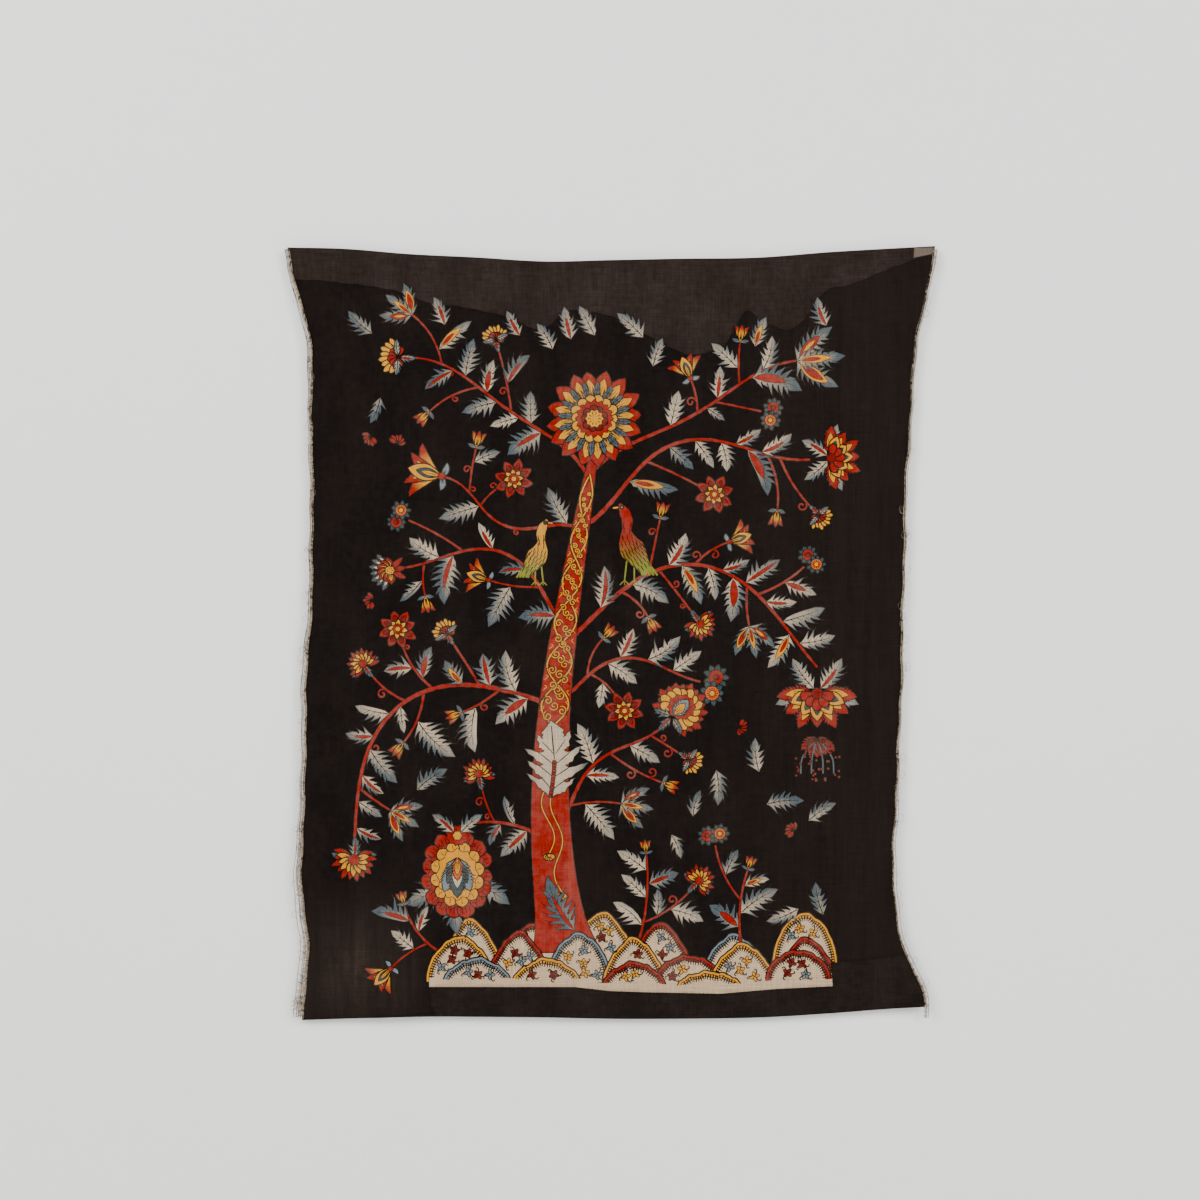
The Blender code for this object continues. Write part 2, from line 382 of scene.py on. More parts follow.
def leaf(base, tip, width, bend, teeth, core, tone):
    """One leaf: outline, hairs, washed colour, midrib, side veins and what it holds in its heart."""
    place, run, left, length = leaf_frame(base, tip, bend / 100)
    count = int(np.clip(round(length / 12.0), 3, 6))
    toothed = [np.concatenate([fingers(count), LOBE]) for _ in range(2)]
    halves = {
        "both": toothed,
        "left": [toothed[0], SMOOTH_SIDE],
        "right": [SMOOTH_SIDE, toothed[1]],
        "none": [PLAIN_SIDE, PLAIN_SIDE],
    }[teeth]
    half = width / 2
    upper = place(halves[0][:, 0], halves[0][:, 1] * half)
    lower = place(halves[1][:, 0], -halves[1][:, 1] * half)[::-1]
    shape = np.concatenate([place([0.0], [0.4]), upper, place([1.0], [0.0]), lower, place([0.0], [-0.4])])
    lay(swollen(shape, 1.1), "line")
    for side, sign in zip(halves, (1, -1)):
        if len(side) > 8:
            tips = side[2 : 4 * count : 4]
            ends = place(tips[:, 0] + 0.10, sign * tips[:, 1] * half * 1.22)
            roots = place(tips[:, 0] - 0.03, sign * tips[:, 1] * half * 0.8)
            for root, end in zip(roots, ends):
                lay(ribbon(np.stack([root, end]), [1.6, 0.3]), "line")
    lay(
        shape,
        "cream",
        tip="blue",
        place=base,
        along=run / length**2,
        across=left / half,
        run=(1.1 * (tone - 0.5), 0.70 + 0.25 * tone, 1.45),
    )
    if length > 14:
        rib = place(np.linspace(0.02, 0.84, max(4, count + 2)), np.zeros(max(4, count + 2)))
        lay(ribbon(rib, np.linspace(1.7, 0.6, len(rib))), "line")
    if length > 24:
        for side, sign in zip(halves, (1, -1)):
            if len(side) > 8:
                notch = side[1 : 4 * count : 4]
                for s, h in notch[1:]:
                    vein = place([s - 0.07, s + 0.055], [0.0, sign * h * half * 0.72])
                    lay(ribbon(vein, [1.0, 0.4]), "line")
    leaf_heart(place, half, core)


def seed(place, start, stop, half):
    """An almond between two shares of the midrib."""
    s = np.linspace(start, stop, 9)
    h = half * np.sin(np.pi * np.linspace(0, 1, 9)) ** 0.8
    return np.concatenate([place(s, h), place(s[1:-1], -h[1:-1])[::-1]])


def leaf_heart(place, half, core):
    """The slit or seed in a leaf's heart."""
    if core in ("slit", "longslit"):
        stop = 0.92 if core == "longslit" else 0.70
        outlined(seed(place, 0.0, stop, max(1.3, half * 0.17)), "red", 0.7)
    elif core == "redcore":
        outlined(seed(place, 0.02, 0.66, half * 0.30), "red", 0.8)
        for s in (0.2, 0.3, 0.4, 0.5):
            lay(ribbon(place([s, s + 0.07], [-half * 0.12, half * 0.12]), [0.6, 0.3]), "dark")
    elif core == "yellowcore":
        outlined(seed(place, 0.06, 0.70, half * 0.36), "yellow", 0.9)
        outlined(seed(place, 0.10, 0.50, half * 0.17), "red", 0.6)
    elif core == "redyellow":
        outlined(seed(place, 0.08, 0.68, half * 0.42), "red", 0.9)
        outlined(seed(place, 0.20, 0.56, half * 0.18), "yellow", 0.6)
    elif core == "yellowred":
        outlined(seed(place, 0.08, 0.76, half * 0.55), "yellow", 0.9)
        outlined(seed(place, 0.14, 0.66, half * 0.33), "red", 0.7)


print("leaf shapes ready")

# %% [markdown]
# ## Petals, rings and buttons
# Flowers are built the way they are painted: petals first, one colour inside another, then the ruffled
# button over their feet. A petal whose tip has another colour than its foot was dyed twice.


# %% Flower shapes
def petal(base, tip, width, bend, edge, colours):
    """One petal with colours nested inside each other. A colour written tip>foot changes along the petal."""
    place, run, left, length = leaf_frame(base, tip, bend / 100)
    for depth, colour in enumerate(colours.split("/")):
        stop = (1.0, 0.76, 0.60)[depth]
        half = width / 2 * (1.0, 0.56, 0.30)[depth]
        if edge == "toothed" and depth == 0:
            count = int(np.clip(length / 6, 3, 7))
            side = fingers(count, 0.16, 0.80)
            side[:, 1] = 0.40 + 0.60 * side[:, 1]
            side = np.concatenate([[(0.0, 0.10)], side, [(0.90, 0.36)]])
            s, h = side[:, 0], side[:, 1] * half
            shape = np.concatenate([place(s, h), place([1.0], [0.0]), place(s, -h)[::-1]])
        else:
            t = np.linspace(0, 1, 11)
            power = 1.7 if edge == "round" else 1.05
            h = half * np.sin(np.pi * t**power) ** (0.55 if edge == "round" else 0.85)
            s = 0.04 * (depth > 0) + t * (stop - 0.04 * (depth > 0))
            shape = np.concatenate([place(s, h), place(s[1:-1], -h[1:-1])[::-1]])
        lay(swollen(shape, 1.7 if depth == 0 else 1.1), "line")
        tip_dye, _, foot_dye = colour.partition(">")
        if foot_dye:
            lay(shape, foot_dye, tip=tip_dye, place=base, along=run / length**2, run=(-0.55, 2.6, 0))
        else:
            lay(shape, tip_dye)
    if length > 14 and edge != "round":
        mark = "dark" if colours.endswith("red") else "line"
        for side in (-0.24, 0.0, 0.24):
            lay(ribbon(place([0.14, 0.52], [side * width * 0.5, side * width * 0.7]), [1.3, 0.5]), mark)


def button(centre, radius_x, radius_z, teeth, depth, colour, marks=True):
    """A ruffled disc: the radius swings by a share called depth, once for each tooth."""
    turn = np.linspace(0, 2 * np.pi, max(20, 5 * teeth), endpoint=False)
    wave = 1 + depth * (2 * np.abs((turn * teeth / (2 * np.pi)) % 1 - 0.5) - 0.5) * 2
    x = centre[0] + radius_x * wave * np.cos(turn)
    z = centre[1] + radius_z * wave * np.sin(turn)
    outlined(np.stack([x, z], axis=1), colour, 1.1)
    if marks and radius_x > 5:
        ink = "dark" if colour in ("red", "dark") else "line"
        rays = min(teeth, 14)
        for angle in np.arange(rays) * 2 * np.pi / rays:
            way = np.array([radius_x * np.cos(angle), radius_z * np.sin(angle)])
            line = np.stack([centre + way * 0.42, centre + way * 0.80])
            lay(ribbon(line, [0.6, 1.5]), ink)


def ring(centre, inner, outer, count, width, first, edge, colours):
    """Petals set evenly in a ring, each a little longer, shorter or turned, as a hand draws them."""
    for k in range(count):
        angle = np.radians(first + 360 * k / count + 2.0 * chance.standard_normal())
        way = np.array([np.cos(angle), np.sin(angle)])
        reach = outer * (1 + 0.03 * chance.standard_normal())
        petal(centre + way * inner, centre + way * reach, width, 3 * chance.standard_normal(), edge, colours)


def fan(apex, direction, spread, radius, count, colour):
    """A seed head: short round petals opening from one point."""
    angles = np.radians(direction + spread * np.linspace(-0.5, 0.5, count))
    width = 1.5 * radius * np.radians(spread) / count
    for angle in angles:
        way = np.array([np.cos(angle), np.sin(angle)])
        petal(apex, apex + way * radius, width, 0, "round", colour)
    ahead = np.array([np.cos(angles.mean()), np.sin(angles.mean())])
    button(np.asarray(apex) + radius * 0.25 * ahead, radius * 0.22, radius * 0.22, 5, 0.1, colour)


print("shapes ready")

# %% [markdown]
# ## The cut edge of the painted cloth
# The old cloth was cut out along the leaves of the tree's crown and along the foot of the mound, turned under
# and sewn down. Its two long sides are its own raw edges.

# %% Outline of the painted cloth
# Columns: distance across, height. First the cut over the crown, then the one under the mound.
UPPER_CUT = [
    (-500, -29), (-440, -31), (-405, -34), (-380, -37), (-354, -41), (-322, -46), (-300, -54),
    (-282, -62), (-255, -66), (-228, -70), (-202, -75), (-176, -80), (-150, -86), (-130, -97),
    (-108, -105), (-88, -96), (-66, -77), (-40, -78), (-15, -80), (7, -87), (30, -100), (55, -112),
    (84, -129), (104, -138), (120, -142), (145, -139), (168, -132), (185, -108), (207, -75),
    (225, -90), (248, -101), (270, -105), (292, -88), (327, -45), (355, -38), (387, -27),
    (420, -13), (453, -1), (500, 8),
]
LOWER_CUT = [
    (-500, -1139), (-380, -1136), (-262, -1131), (-264, -1122), (-269, -1116), (-270, -1108),
    (-273, -1090), (-52, -1090), (0, -1096), (60, -1098), (165, -1100), (250, -1093), (334, -1089),
    (331, -1054), (375, -1050), (430, -1043), (500, -1040),
]


def cloth_outline():
    """The painted cloth's outline, counter-clockwise: left side down, foot, right side up, crown."""
    upper, lower = np.array(UPPER_CUT, float), np.array(LOWER_CUT, float)
    top = smooth_line(upper, 6.0)
    top[:, 1] += 0.7 * np.sin(top[:, 0] * 0.21) + 0.5 * np.sin(top[:, 0] * 0.083)
    low = np.concatenate([smooth_line(pair, 6.0)[:-1] for pair in zip(lower[:-1], lower[1:])] + [lower[-1:]])
    top = top[(top[:, 0] > left_edge(top[:, 1])) & (top[:, 0] < right_edge(top[:, 1]))]
    low = low[(low[:, 0] > left_edge(low[:, 1])) & (low[:, 0] < right_edge(low[:, 1]))]
    down = np.arange(top[0, 1] - 1, low[0, 1], -5.0)
    climb = np.arange(low[-1, 1] + 1, top[-1, 1], 5.0)
    left = np.stack([left_edge(down), down], axis=1)
    right = np.stack([right_edge(climb), climb], axis=1)
    return np.concatenate([left, low, right, top[::-1]])


outline = cloth_outline()
print("outline of", len(outline), "places")

# %% [markdown]
# ## Room for every motif
# A painter fills the ground evenly and never lets two motifs touch. Here each motif claims its room as a few
# discs, and a new one is laid only where its discs stay clear of all the others. At the crown a motif may
# stand a little past the cut edge, because the old cloth was cut out round the leaves.

# %% Keeping motifs apart
FIELD_LEFT, FIELD_RIGHT = -400.0, 352.0
EDGE_GAP = -24.0
HEM_LEVEL = -1118.0
# Columns: share along the leaf, radius of the disc there as a share of the leaf's width.
LEAF_DISCS = [(0.42, 0.42), (0.68, 0.38), (0.92, 0.14)]
taken = []


def crown(x):
    """The height of the cut edge over the tree's crown."""
    return np.interp(x, *np.array(UPPER_CUT, float).T)


def foot(x):
    """The height of the cut edge under the mound."""
    return np.interp(x, *np.array(LOWER_CUT[6:13], float).T)


def mound_top(x):
    """The height of the mound's skyline: the highest rock at each place, or the hem far from the mound."""
    middle, width, height = np.array([row[:3] for row in ROCKS], float).T
    share = np.clip(1 - ((np.asarray(x)[..., None] - middle) / (width / 2)) ** 2, 0, 1)
    rise = (height * share**0.4).max(axis=-1)
    return np.where(rise > 0, foot(x) + rise, HEM_LEVEL)


def is_free(discs, gap):
    """True where every disc lies in the field and keeps the gap to every disc that is taken."""
    x, z, r = np.array(discs, float).T
    in_field = (x - r > FIELD_LEFT) & (x + r < FIELD_RIGHT) & (z - r > mound_top(x) + 3)
    in_field &= z + r + EDGE_GAP < np.minimum(crown(x), np.minimum(crown(x - r), crown(x + r)))
    if not in_field.all():
        return False
    tx, tz, tr = np.array(taken, float).T
    apart = np.hypot(x[:, None] - tx, z[:, None] - tz)
    return bool((apart > r[:, None] + tr + gap).all())


def leaf_room(base, tip, width):
    """The discs that a leaf takes: three along its outer part."""
    base, tip = np.asarray(base), np.asarray(tip)
    return [(*(base + (tip - base) * s), width * share) for s, share in LEAF_DISCS]


print("a field", FIELD_RIGHT - FIELD_LEFT, "mm wide to fill")

# %% [markdown]
# ## The rocky mound
# The tree stands on a mound of overlapping rocks. Each rock is an arch with a coloured band, a comb of pen
# strokes inside the band and bare cloth below it, strewn with little crossed flowers that trail black curls.
# Rocks are laid from the back to the front, and the trunk's foot goes between the two.

# %% Mound
BAND_WIDTH = 8.0
BARE_STRIP = 12.0
MOUND_LEFT, MOUND_RIGHT = -264.0, 332.0
SADDLE, SADDLE_REACH, SADDLE_DEPTH = 138.0, 42.0, 0.42
# Columns: how many rocks, lowest, highest, width as a share of their spacing; back row first.
ROCK_ROWS = [(6, 86, 112, 1.06), (7, 66, 82, 1.16), (5, 36, 50, 0.84)]
BAND_COLOURS = ("yellow", "red", "yellow", "red", "grey")


def plan_rocks():
    """Each rock's middle, width, height above the foot, band colour and how peaked it is, back to front.

    The rocks of a row stand evenly along the mound and each is moved and sized a little by chance. Near the
    saddle they are lower by SADDLE_DEPTH exp(-((x - SADDLE) / SADDLE_REACH) squared), which leaves two hills.
    """
    pick = np.random.default_rng(21)
    rocks = []
    for row, (count, low, high, share) in enumerate(ROCK_ROWS):
        pitch = (MOUND_RIGHT - MOUND_LEFT) / count
        middles = MOUND_LEFT + pitch * (np.arange(count) + 0.5 + pick.uniform(-0.1, 0.1, count))
        dip = 1 - SADDLE_DEPTH * np.exp(-(((middles - SADDLE) / SADDLE_REACH) ** 2))
        heights = pick.uniform(low, high, count) * dip
        widths = pitch * share * pick.uniform(0.92, 1.04, count)
        peaks = pick.uniform(0.15, 0.70, count)
        bands = [BAND_COLOURS[(k + 2 * row) % len(BAND_COLOURS)] for k in range(count)]
        rocks += list(zip(middles, widths, heights, bands, peaks))
    return rocks


ROCKS = plan_rocks()
BACK_ROCKS = ROCK_ROWS[0][0]


def arch(middle, width, height, peaked, inset=0.0):
    """A rock from foot to foot: a squared-off half ellipse blended with a tent by how peaked it is."""
    turn = np.linspace(0, np.pi, 40)
    reach = width / 2 - inset
    x = middle - reach * np.sign(np.cos(turn)) * np.abs(np.cos(turn)) ** 0.9
    dome, tent = np.sin(turn) ** 0.72, 1 - np.abs(np.cos(turn)) ** 1.15
    rise = (height - inset * (1 + 0.3 * peaked)) * (dome * (1 - peaked) + tent * peaked)
    rise = rise + (1.3 * np.sin(11 * turn + middle) + 0.8 * np.sin(23 * turn)) * np.sin(turn)
    return np.stack([x, foot(middle) + BARE_STRIP - 4 + np.maximum(rise, 0)], axis=1)


def rock(middle, width, height, band, peaked):
    """One rock: a line, a coloured band, a comb of strokes along the band and bare cloth under it."""
    outer = arch(middle, width, height, peaked)
    inner = arch(middle, width, height, peaked, BAND_WIDTH)
    outlined(outer, band, 2.1)
    outlined(inner, "bare", 1.5)
    lay(ribbon(arch(middle, width, height, peaked, BAND_WIDTH * 0.42), 1.0), "line")
    comb = smooth_line(inner, 3.7)
    for place, way in zip(comb[2:-2], normals(comb)[2:-2]):
        lay(ribbon(np.stack([place + way * 4.4, place - way * 3.6]), [2.5, 1.3]), "line")


# Columns: out from the middle and to the side, both as shares of the flower's radius.
CURL_STEPS = [(0.35, 0.0), (0.8, 0.10), (1.08, 0.32), (1.0, 0.56), (0.82, 0.46)]


def cross(centre, radius, colour):
    """A little flower of four or five narrow petals with black curls trailing from it."""
    centre = np.asarray(centre, float)
    first = chance.uniform(0, 90)
    count = 5 if chance.random() < 0.35 else 4
    for k in range(count):
        angle = np.radians(first + 360 * k / count)
        way = np.array([np.cos(angle), np.sin(angle)])
        place, _, _, _ = leaf_frame(centre, centre + way * radius * 0.78, 0.0)
        outlined(seed(place, 0.0, 1.0, radius * 0.21), colour, 1.2)
    for k in range(3):
        angle = np.radians(first + 45 + 120 * k + chance.uniform(-15, 15))
        way = np.array([np.cos(angle), np.sin(angle)])
        side = np.array([-way[1], way[0]])
        pen([centre + way * radius * a + side * radius * b for a, b in CURL_STEPS], 1.9, spacing=1.6)


# Where flowers are tried for: leftmost and rightmost, lowest and highest, and how many times.
STREWN_ACROSS, STREWN_UP, STREWN_TRIES = (-268, 330), (-1096, -990), 2600


def strew_crosses(radius=9.6):
    """Crossed flowers on the bare part of each rock, wherever one fits clear of the bands and the others."""
    across = chance.uniform(*STREWN_ACROSS, STREWN_TRIES)
    darts = np.stack([across, chance.uniform(*STREWN_UP, STREWN_TRIES)], axis=1)
    around = np.linspace(0, 2 * np.pi, 9)[:-1]
    rim = np.concatenate([[(0, 0)], np.stack([np.cos(around), np.sin(around)], axis=1) * radius])
    tests = (darts[:, None] + rim).reshape(-1, 2)
    on_rock = np.full(len(tests), -1)
    bare = np.zeros(len(tests), bool)
    for number, (middle, width, height, _, peaked) in enumerate(ROCKS):
        over = inside(tests, arch(middle, width, height, peaked))
        on_rock[over] = number
        bare[over] = inside(tests[over], arch(middle, width, height, peaked, BAND_WIDTH + 2))
        if number == BACK_ROCKS - 1:
            bare[inside(tests, trunk_shape())] = False
    on_rock, bare = on_rock.reshape(len(darts), -1), bare.reshape(len(darts), -1)
    good = (bare.sum(axis=1) >= 7) & (on_rock == on_rock[:, :1]).all(axis=1)
    good &= darts[:, 1] - radius > foot(darts[:, 0]) - 2
    kept = []
    for place in darts[good]:
        if all(np.hypot(*(place - other)) > 1.5 * radius for other in kept):
            kept.append(place)
            cross(place, radius, ("yellow", "grey", "dark")[len(kept) % 3])
    return len(kept)


def bare_strip():
    """Undyed cloth along the mound's foot, over the feet of the rocks."""
    x = np.linspace(-271, 345, 90)
    upper = np.stack([x, foot(x) + BARE_STRIP + 1.5 * np.sin(x / 9)], axis=1)
    lay(np.concatenate([upper, np.stack([x, foot(x) - 6], axis=1)[::-1]]), "bare")


print(len(ROCKS), "rocks")

# %% [markdown]
# ## The trunk
# The trunk sways and tapers. Two pairs of lines wind round its upper part and cross in lozenges, with curls
# in each. Lower down it is plain red, with two long tendrils that end in small yellow seed heads.

# %% Trunk
TRUNK_FOOT, TRUNK_TOP = -1038.0, -300.0
WINDING_FROM, WINDING_TO, WINDING_PITCH = 0.46, 0.97, 0.17
TRUNK_CURLS = 44
# The two hanging tendrils. Columns: share across the trunk, lower end, upper end, sway.
TENDRILS = [(0.42, 0.20, 0.40, 0.16), (0.64, 0.12, 0.33, -0.14)]


def on_trunk(s, share):
    """A place a share s up the trunk and a share of its width from its left side.

    Its middle sways by 30 sin(1.15 pi s to the 0.8) and leans by 22 s squared. Its width falls by
    58 (1 - s) to the 0.72, with a flare of 36 exp(-s / 0.05) at the foot.
    """
    s, share = np.asarray(s, float), np.asarray(share, float)
    middle = -62 - 30 * np.sin(1.15 * np.pi * s**0.8) + 22 * s**2
    width = 11 + 58 * (1 - s) ** 0.72 + 36 * np.exp(-s / 0.05)
    return np.stack([middle + width * (share - 0.5), TRUNK_FOOT + (TRUNK_TOP - TRUNK_FOOT) * s], axis=-1)


def trunk_shape():
    """The trunk's outline."""
    s = np.linspace(0, 1, 110)
    return np.concatenate([on_trunk(s, 0.0), on_trunk(s, 1.0)[::-1]])


def spiral(centre, radius, start, turn, width, colour, turns=1.3, ink=1.4):
    """A curl whose radius falls evenly to a fifth."""
    t = np.linspace(0, 1, 20)
    angle = np.radians(start) + turn * t * 2 * np.pi * turns
    reach = radius * (1 - 0.8 * t)
    line = np.asarray(centre) + np.stack([reach * np.cos(angle), reach * np.sin(angle)], axis=1)
    lay(ribbon(line, width + ink), "line")
    lay(ribbon(line, width), colour)


def trunk():
    """The red trunk, its winding lines and its curls."""
    outlined(trunk_shape(), "red", 1.4)
    wound = np.linspace(WINDING_FROM, WINDING_TO, 130)
    for phase in (0, np.pi):
        share = 0.5 + 0.44 * np.sin(phase + 2 * np.pi * (wound - WINDING_FROM) / WINDING_PITCH)
        line = on_trunk(wound, share)
        lay(ribbon(line, 5.0), "line")
        lay(ribbon(line, 2.2), "yellow")
    for k in range(TRUNK_CURLS):
        up = WINDING_FROM + 0.02 + (WINDING_TO - WINDING_FROM - 0.06) * k / (TRUNK_CURLS - 1)
        across = (0.30, 0.70, 0.50)[k % 3] + chance.uniform(-0.06, 0.06)
        width = float(on_trunk(up, 1.0)[0] - on_trunk(up, 0.0)[0])
        middle, start = on_trunk(up, across), chance.uniform(0, 360)
        spiral(middle, 0.155 * width, start, 1 - 2 * (k % 2), 1.7, "yellow", ink=1.9)
        beside = [0.05, 0.15, 0.08] if k % 2 else [0.95, 0.85, 0.92]
        hook = on_trunk([up, up + 0.008, up + 0.010], beside)
        pen(hook, 1.3, "yellow" if k % 3 else "line", spacing=1.8)
    for share, low, high, sway in TENDRILS:
        rise = np.linspace(high, low, 40)
        line = on_trunk(rise, share + sway * np.sin(9 * (rise - low) / (high - low)))
        lay(ribbon(line, 3.6), "line")
        lay(ribbon(line, 1.7), "yellow")
        fan(line[-1], 265 + 40 * sway, 100, 10.0, 5, "yellow")


def great_leaf(base, tip, width):
    """A broad leaf with few deep lobes, a fine saw along them, indigo at the rim and a beaded spine."""
    place, run, side, length = leaf_frame(base, tip, -0.05)
    half = width / 2

    def rim(sign, lobes):
        """One side: deep lobes from the leaf's own teeth with a saw laid over them."""
        rows = np.concatenate([[(0.0, 0.03)], fingers(lobes, 0.05, 0.80), [(0.88, 0.34), (1.0, 0.0)]])
        t = np.linspace(0, len(rows) - 1, 64)
        s = np.interp(t, np.arange(len(rows)), rows[:, 0])
        h = np.interp(t, np.arange(len(rows)), rows[:, 1])
        return place(s, sign * half * (h + 0.06 * (np.arange(64) % 2) * (h > 0.2)))

    shape = np.concatenate([rim(1, 4), rim(-1, 4)[::-1]])
    lay(swollen(shape, 1.3), "line")
    middle = place(np.array(0.5), np.array(0.0))
    ways = {"along": 2 * run / length**2, "across": side / half}
    lay(shape, "cream", tip="blue", place=middle, **ways, run=(-0.42, 0.75, 1.1))
    for s, h in ((0.16, 0.55), (0.32, 0.68), (0.48, 0.60), (0.62, 0.42)):
        for sign in (1, -1):
            pen(place([s - 0.05, s + 0.05, s + 0.12], sign * half * np.array([0.04, h * 0.6, h])), 1.5)
    spine = place(np.linspace(0.03, 0.46, 13), np.zeros(13))
    lay(ribbon(spine, 6.6), "line")
    for k, bead in enumerate(spine):
        button(bead, 2.6, 2.4, 5, 0.15, "red" if k % 2 else "dark", marks=False)
    pen(place([0.5, 0.72, 0.94], [0.0, 1.5, 0.5]), 2.0)


print("a trunk", TRUNK_TOP - TRUNK_FOOT, "mm tall")

# %% [markdown]
# ## Kinds of flower
# The tree bears many kinds of flower at once, as painted trees do. Each kind is drawn from its middle, its
# size and the way it faces, so that any of them can end any branch.


# %% Flowers
def heading_of(angle):
    """A unit direction for an angle in degrees."""
    return np.array([np.cos(np.radians(angle)), np.sin(np.radians(angle))])


def spray(centre, radius, facing, spread, count, width, edge, colours, start=0.12):
    """Petals opening like a fan from near one place."""
    for k, angle in enumerate(facing + spread * np.linspace(-0.5, 0.5, count)):
        way = heading_of(angle)
        reach = radius * (1 - 0.10 * (k % 2)) * (1 + 0.03 * chance.standard_normal())
        base, tip = centre + way * radius * start, centre + way * reach
        petal(base, tip, width, (k - count / 2) * 1.5, edge, colours)


def collar(centre, radius, facing, count, spread, tone):
    """Leaves behind a flower, spread round its stem."""
    for k, angle in enumerate(facing + 180 + spread * np.linspace(-0.5, 0.5, count)):
        way = heading_of(angle)
        core = ("vein", "slit", "vein")[k % 3]
        base, tip = centre + way * radius * 0.15, centre + way * radius
        leaf(base, tip, radius * 0.42, 5 - 10 * (k % 2), "both", core, tone)


def rosette(centre, radius, facing):
    """The great round flower: red petals with yellow hearts, blue leaves between, a red and yellow eye."""
    ring(centre, radius * 0.35, radius, 16, radius * 0.34, 6, "plain", "red/yellow")
    for k in range(16):
        way = heading_of(17 + 22.5 * k)
        base, tip = centre + way * radius * 0.38, centre + way * radius * 0.78
        leaf(base, tip, radius * 0.15, 0, "both", "vein", 1.2)
    ring(centre, radius * 0.18, radius * 0.50, 14, radius * 0.20, 0, "round", "yellow")
    button(centre, radius * 0.36, radius * 0.36, 16, 0.10, "red")
    ring(centre, radius * 0.05, radius * 0.27, 9, radius * 0.15, 20, "round", "dark")
    button(centre, radius * 0.17, radius * 0.17, 10, 0.12, "yellow")


def star(centre, radius, facing):
    """A red flower with eight pointed petals and a yellow eye."""
    ring(centre, radius * 0.1, radius, 8, radius * 0.46, facing, "plain", "red/dark")
    ring(centre, radius * 0.05, radius * 0.50, 8, radius * 0.22, facing + 22, "plain", "yellow")
    button(centre, radius * 0.24, radius * 0.24, 8, 0.15, "red")
    button(centre, radius * 0.12, radius * 0.12, 6, 0.1, "yellow", marks=False)


def sunny(centre, radius, facing):
    """A flower seen from the side: narrow red petals behind, yellow ones in front."""
    collar(centre, radius * 1.05, facing, 3, 150, 0.9)
    spray(centre, radius, facing, 230, 12, radius * 0.26, "plain", "red")
    spray(centre, radius * 0.74, facing, 210, 9, radius * 0.24, "plain", "yellow")
    button(centre, radius * 0.24, radius * 0.22, 7, 0.12, "red")


def daisy(centre, radius, facing):
    """A small drooping flower: blunt yellow petals from a red cap."""
    spray(centre, radius, facing, 130, 8, radius * 0.24, "round", "yellow")
    spray(centre, radius * 0.52, facing, 210, 8, radius * 0.28, "round", "red")
    collar(centre, radius * 0.9, facing, 3, 190, 0.7)


def lotus(centre, radius, facing):
    """A big flower: toothed red petals with yellow hearts, opening one way from a collar of leaves."""
    collar(centre, radius * 1.15, facing, 4, 210, 0.5)
    spray(centre, radius * 1.05, facing, 170, 7, radius * 0.40, "toothed", "red/yellow")
    spray(centre, radius * 0.74, facing, 140, 5, radius * 0.34, "plain", "yellow/deep")
    spray(centre, radius * 0.46, facing, 150, 5, radius * 0.24, "round", "red")
    button(centre, radius * 0.14, radius * 0.14, 7, 0.12, "dark")


def tulip(centre, radius, facing):
    """A cup of three petals that curl outwards, with a yellow heart."""
    foot_place = centre - heading_of(facing) * radius * 0.6
    for angle, bend in ((46, -16), (-46, 16), (24, -10), (-24, 10)):
        tip = foot_place + heading_of(facing + angle) * radius * 1.5
        colours = "red>yellow" if abs(angle) > 30 else "red/yellow"
        petal(foot_place, tip, radius * 0.40, bend, "plain", colours)
    heart = foot_place + heading_of(facing) * radius * 1.35
    petal(foot_place, heart, radius * 0.62, 0, "plain", "yellow/deep/yellow")
    for sign in (1, -1):
        tip = foot_place + heading_of(facing + sign * 100) * radius * 0.55
        petal(foot_place, tip, radius * 0.22, 12 * sign, "plain", "grey")
    button(foot_place, radius * 0.14, radius * 0.12, 6, 0.1, "red", marks=False)


def carnation(centre, radius, facing):
    """A frilled head: red teeth, yellow scallops and a blue heart, open towards one side."""
    spray(centre, radius, facing, 250, 15, radius * 0.34, "toothed", "red", 0.3)
    spray(centre, radius * 0.80, facing, 240, 12, radius * 0.30, "round", "yellow", 0.2)
    way = heading_of(facing)
    button(centre + way * radius * 0.08, radius * 0.46, radius * 0.42, 10, 0.10, "red")
    base, tip = centre - way * radius * 0.3, centre + way * radius * 0.42
    petal(base, tip, radius * 0.5, 0, "toothed", "grey/yellow")
    collar(centre - way * radius * 0.4, radius * 0.7, facing, 3, 140, 0.9)


def thistle(centre, radius, facing):
    """A blue feathered head over red and yellow scales."""
    spray(centre, radius, facing, 120, 7, radius * 0.26, "toothed", "blue/cream", 0.2)
    spray(centre, radius * 0.62, facing, 170, 7, radius * 0.34, "plain", "red/yellow")
    spray(centre, radius * 0.8, facing + 180, 70, 3, radius * 0.22, "plain", "red")
    button(centre, radius * 0.2, radius * 0.18, 7, 0.1, "yellow")


def berries(centre, radius, facing):
    """A pair of round fruits, red and yellow, in a ruff of small blue leaves."""
    side = heading_of(facing + 90) * radius * 0.42
    for sign, colour, eye in ((1, "red", "dark"), (-1, "orange", "yellow")):
        middle = centre + side * sign
        ring(middle, radius * 0.2, radius * 0.62, 9, radius * 0.24, 0, "plain", "deep")
        button(middle, radius * 0.34, radius * 0.34, 12, 0.05, colour)
        button(middle, radius * 0.13, radius * 0.13, 6, 0.1, eye, marks=False)


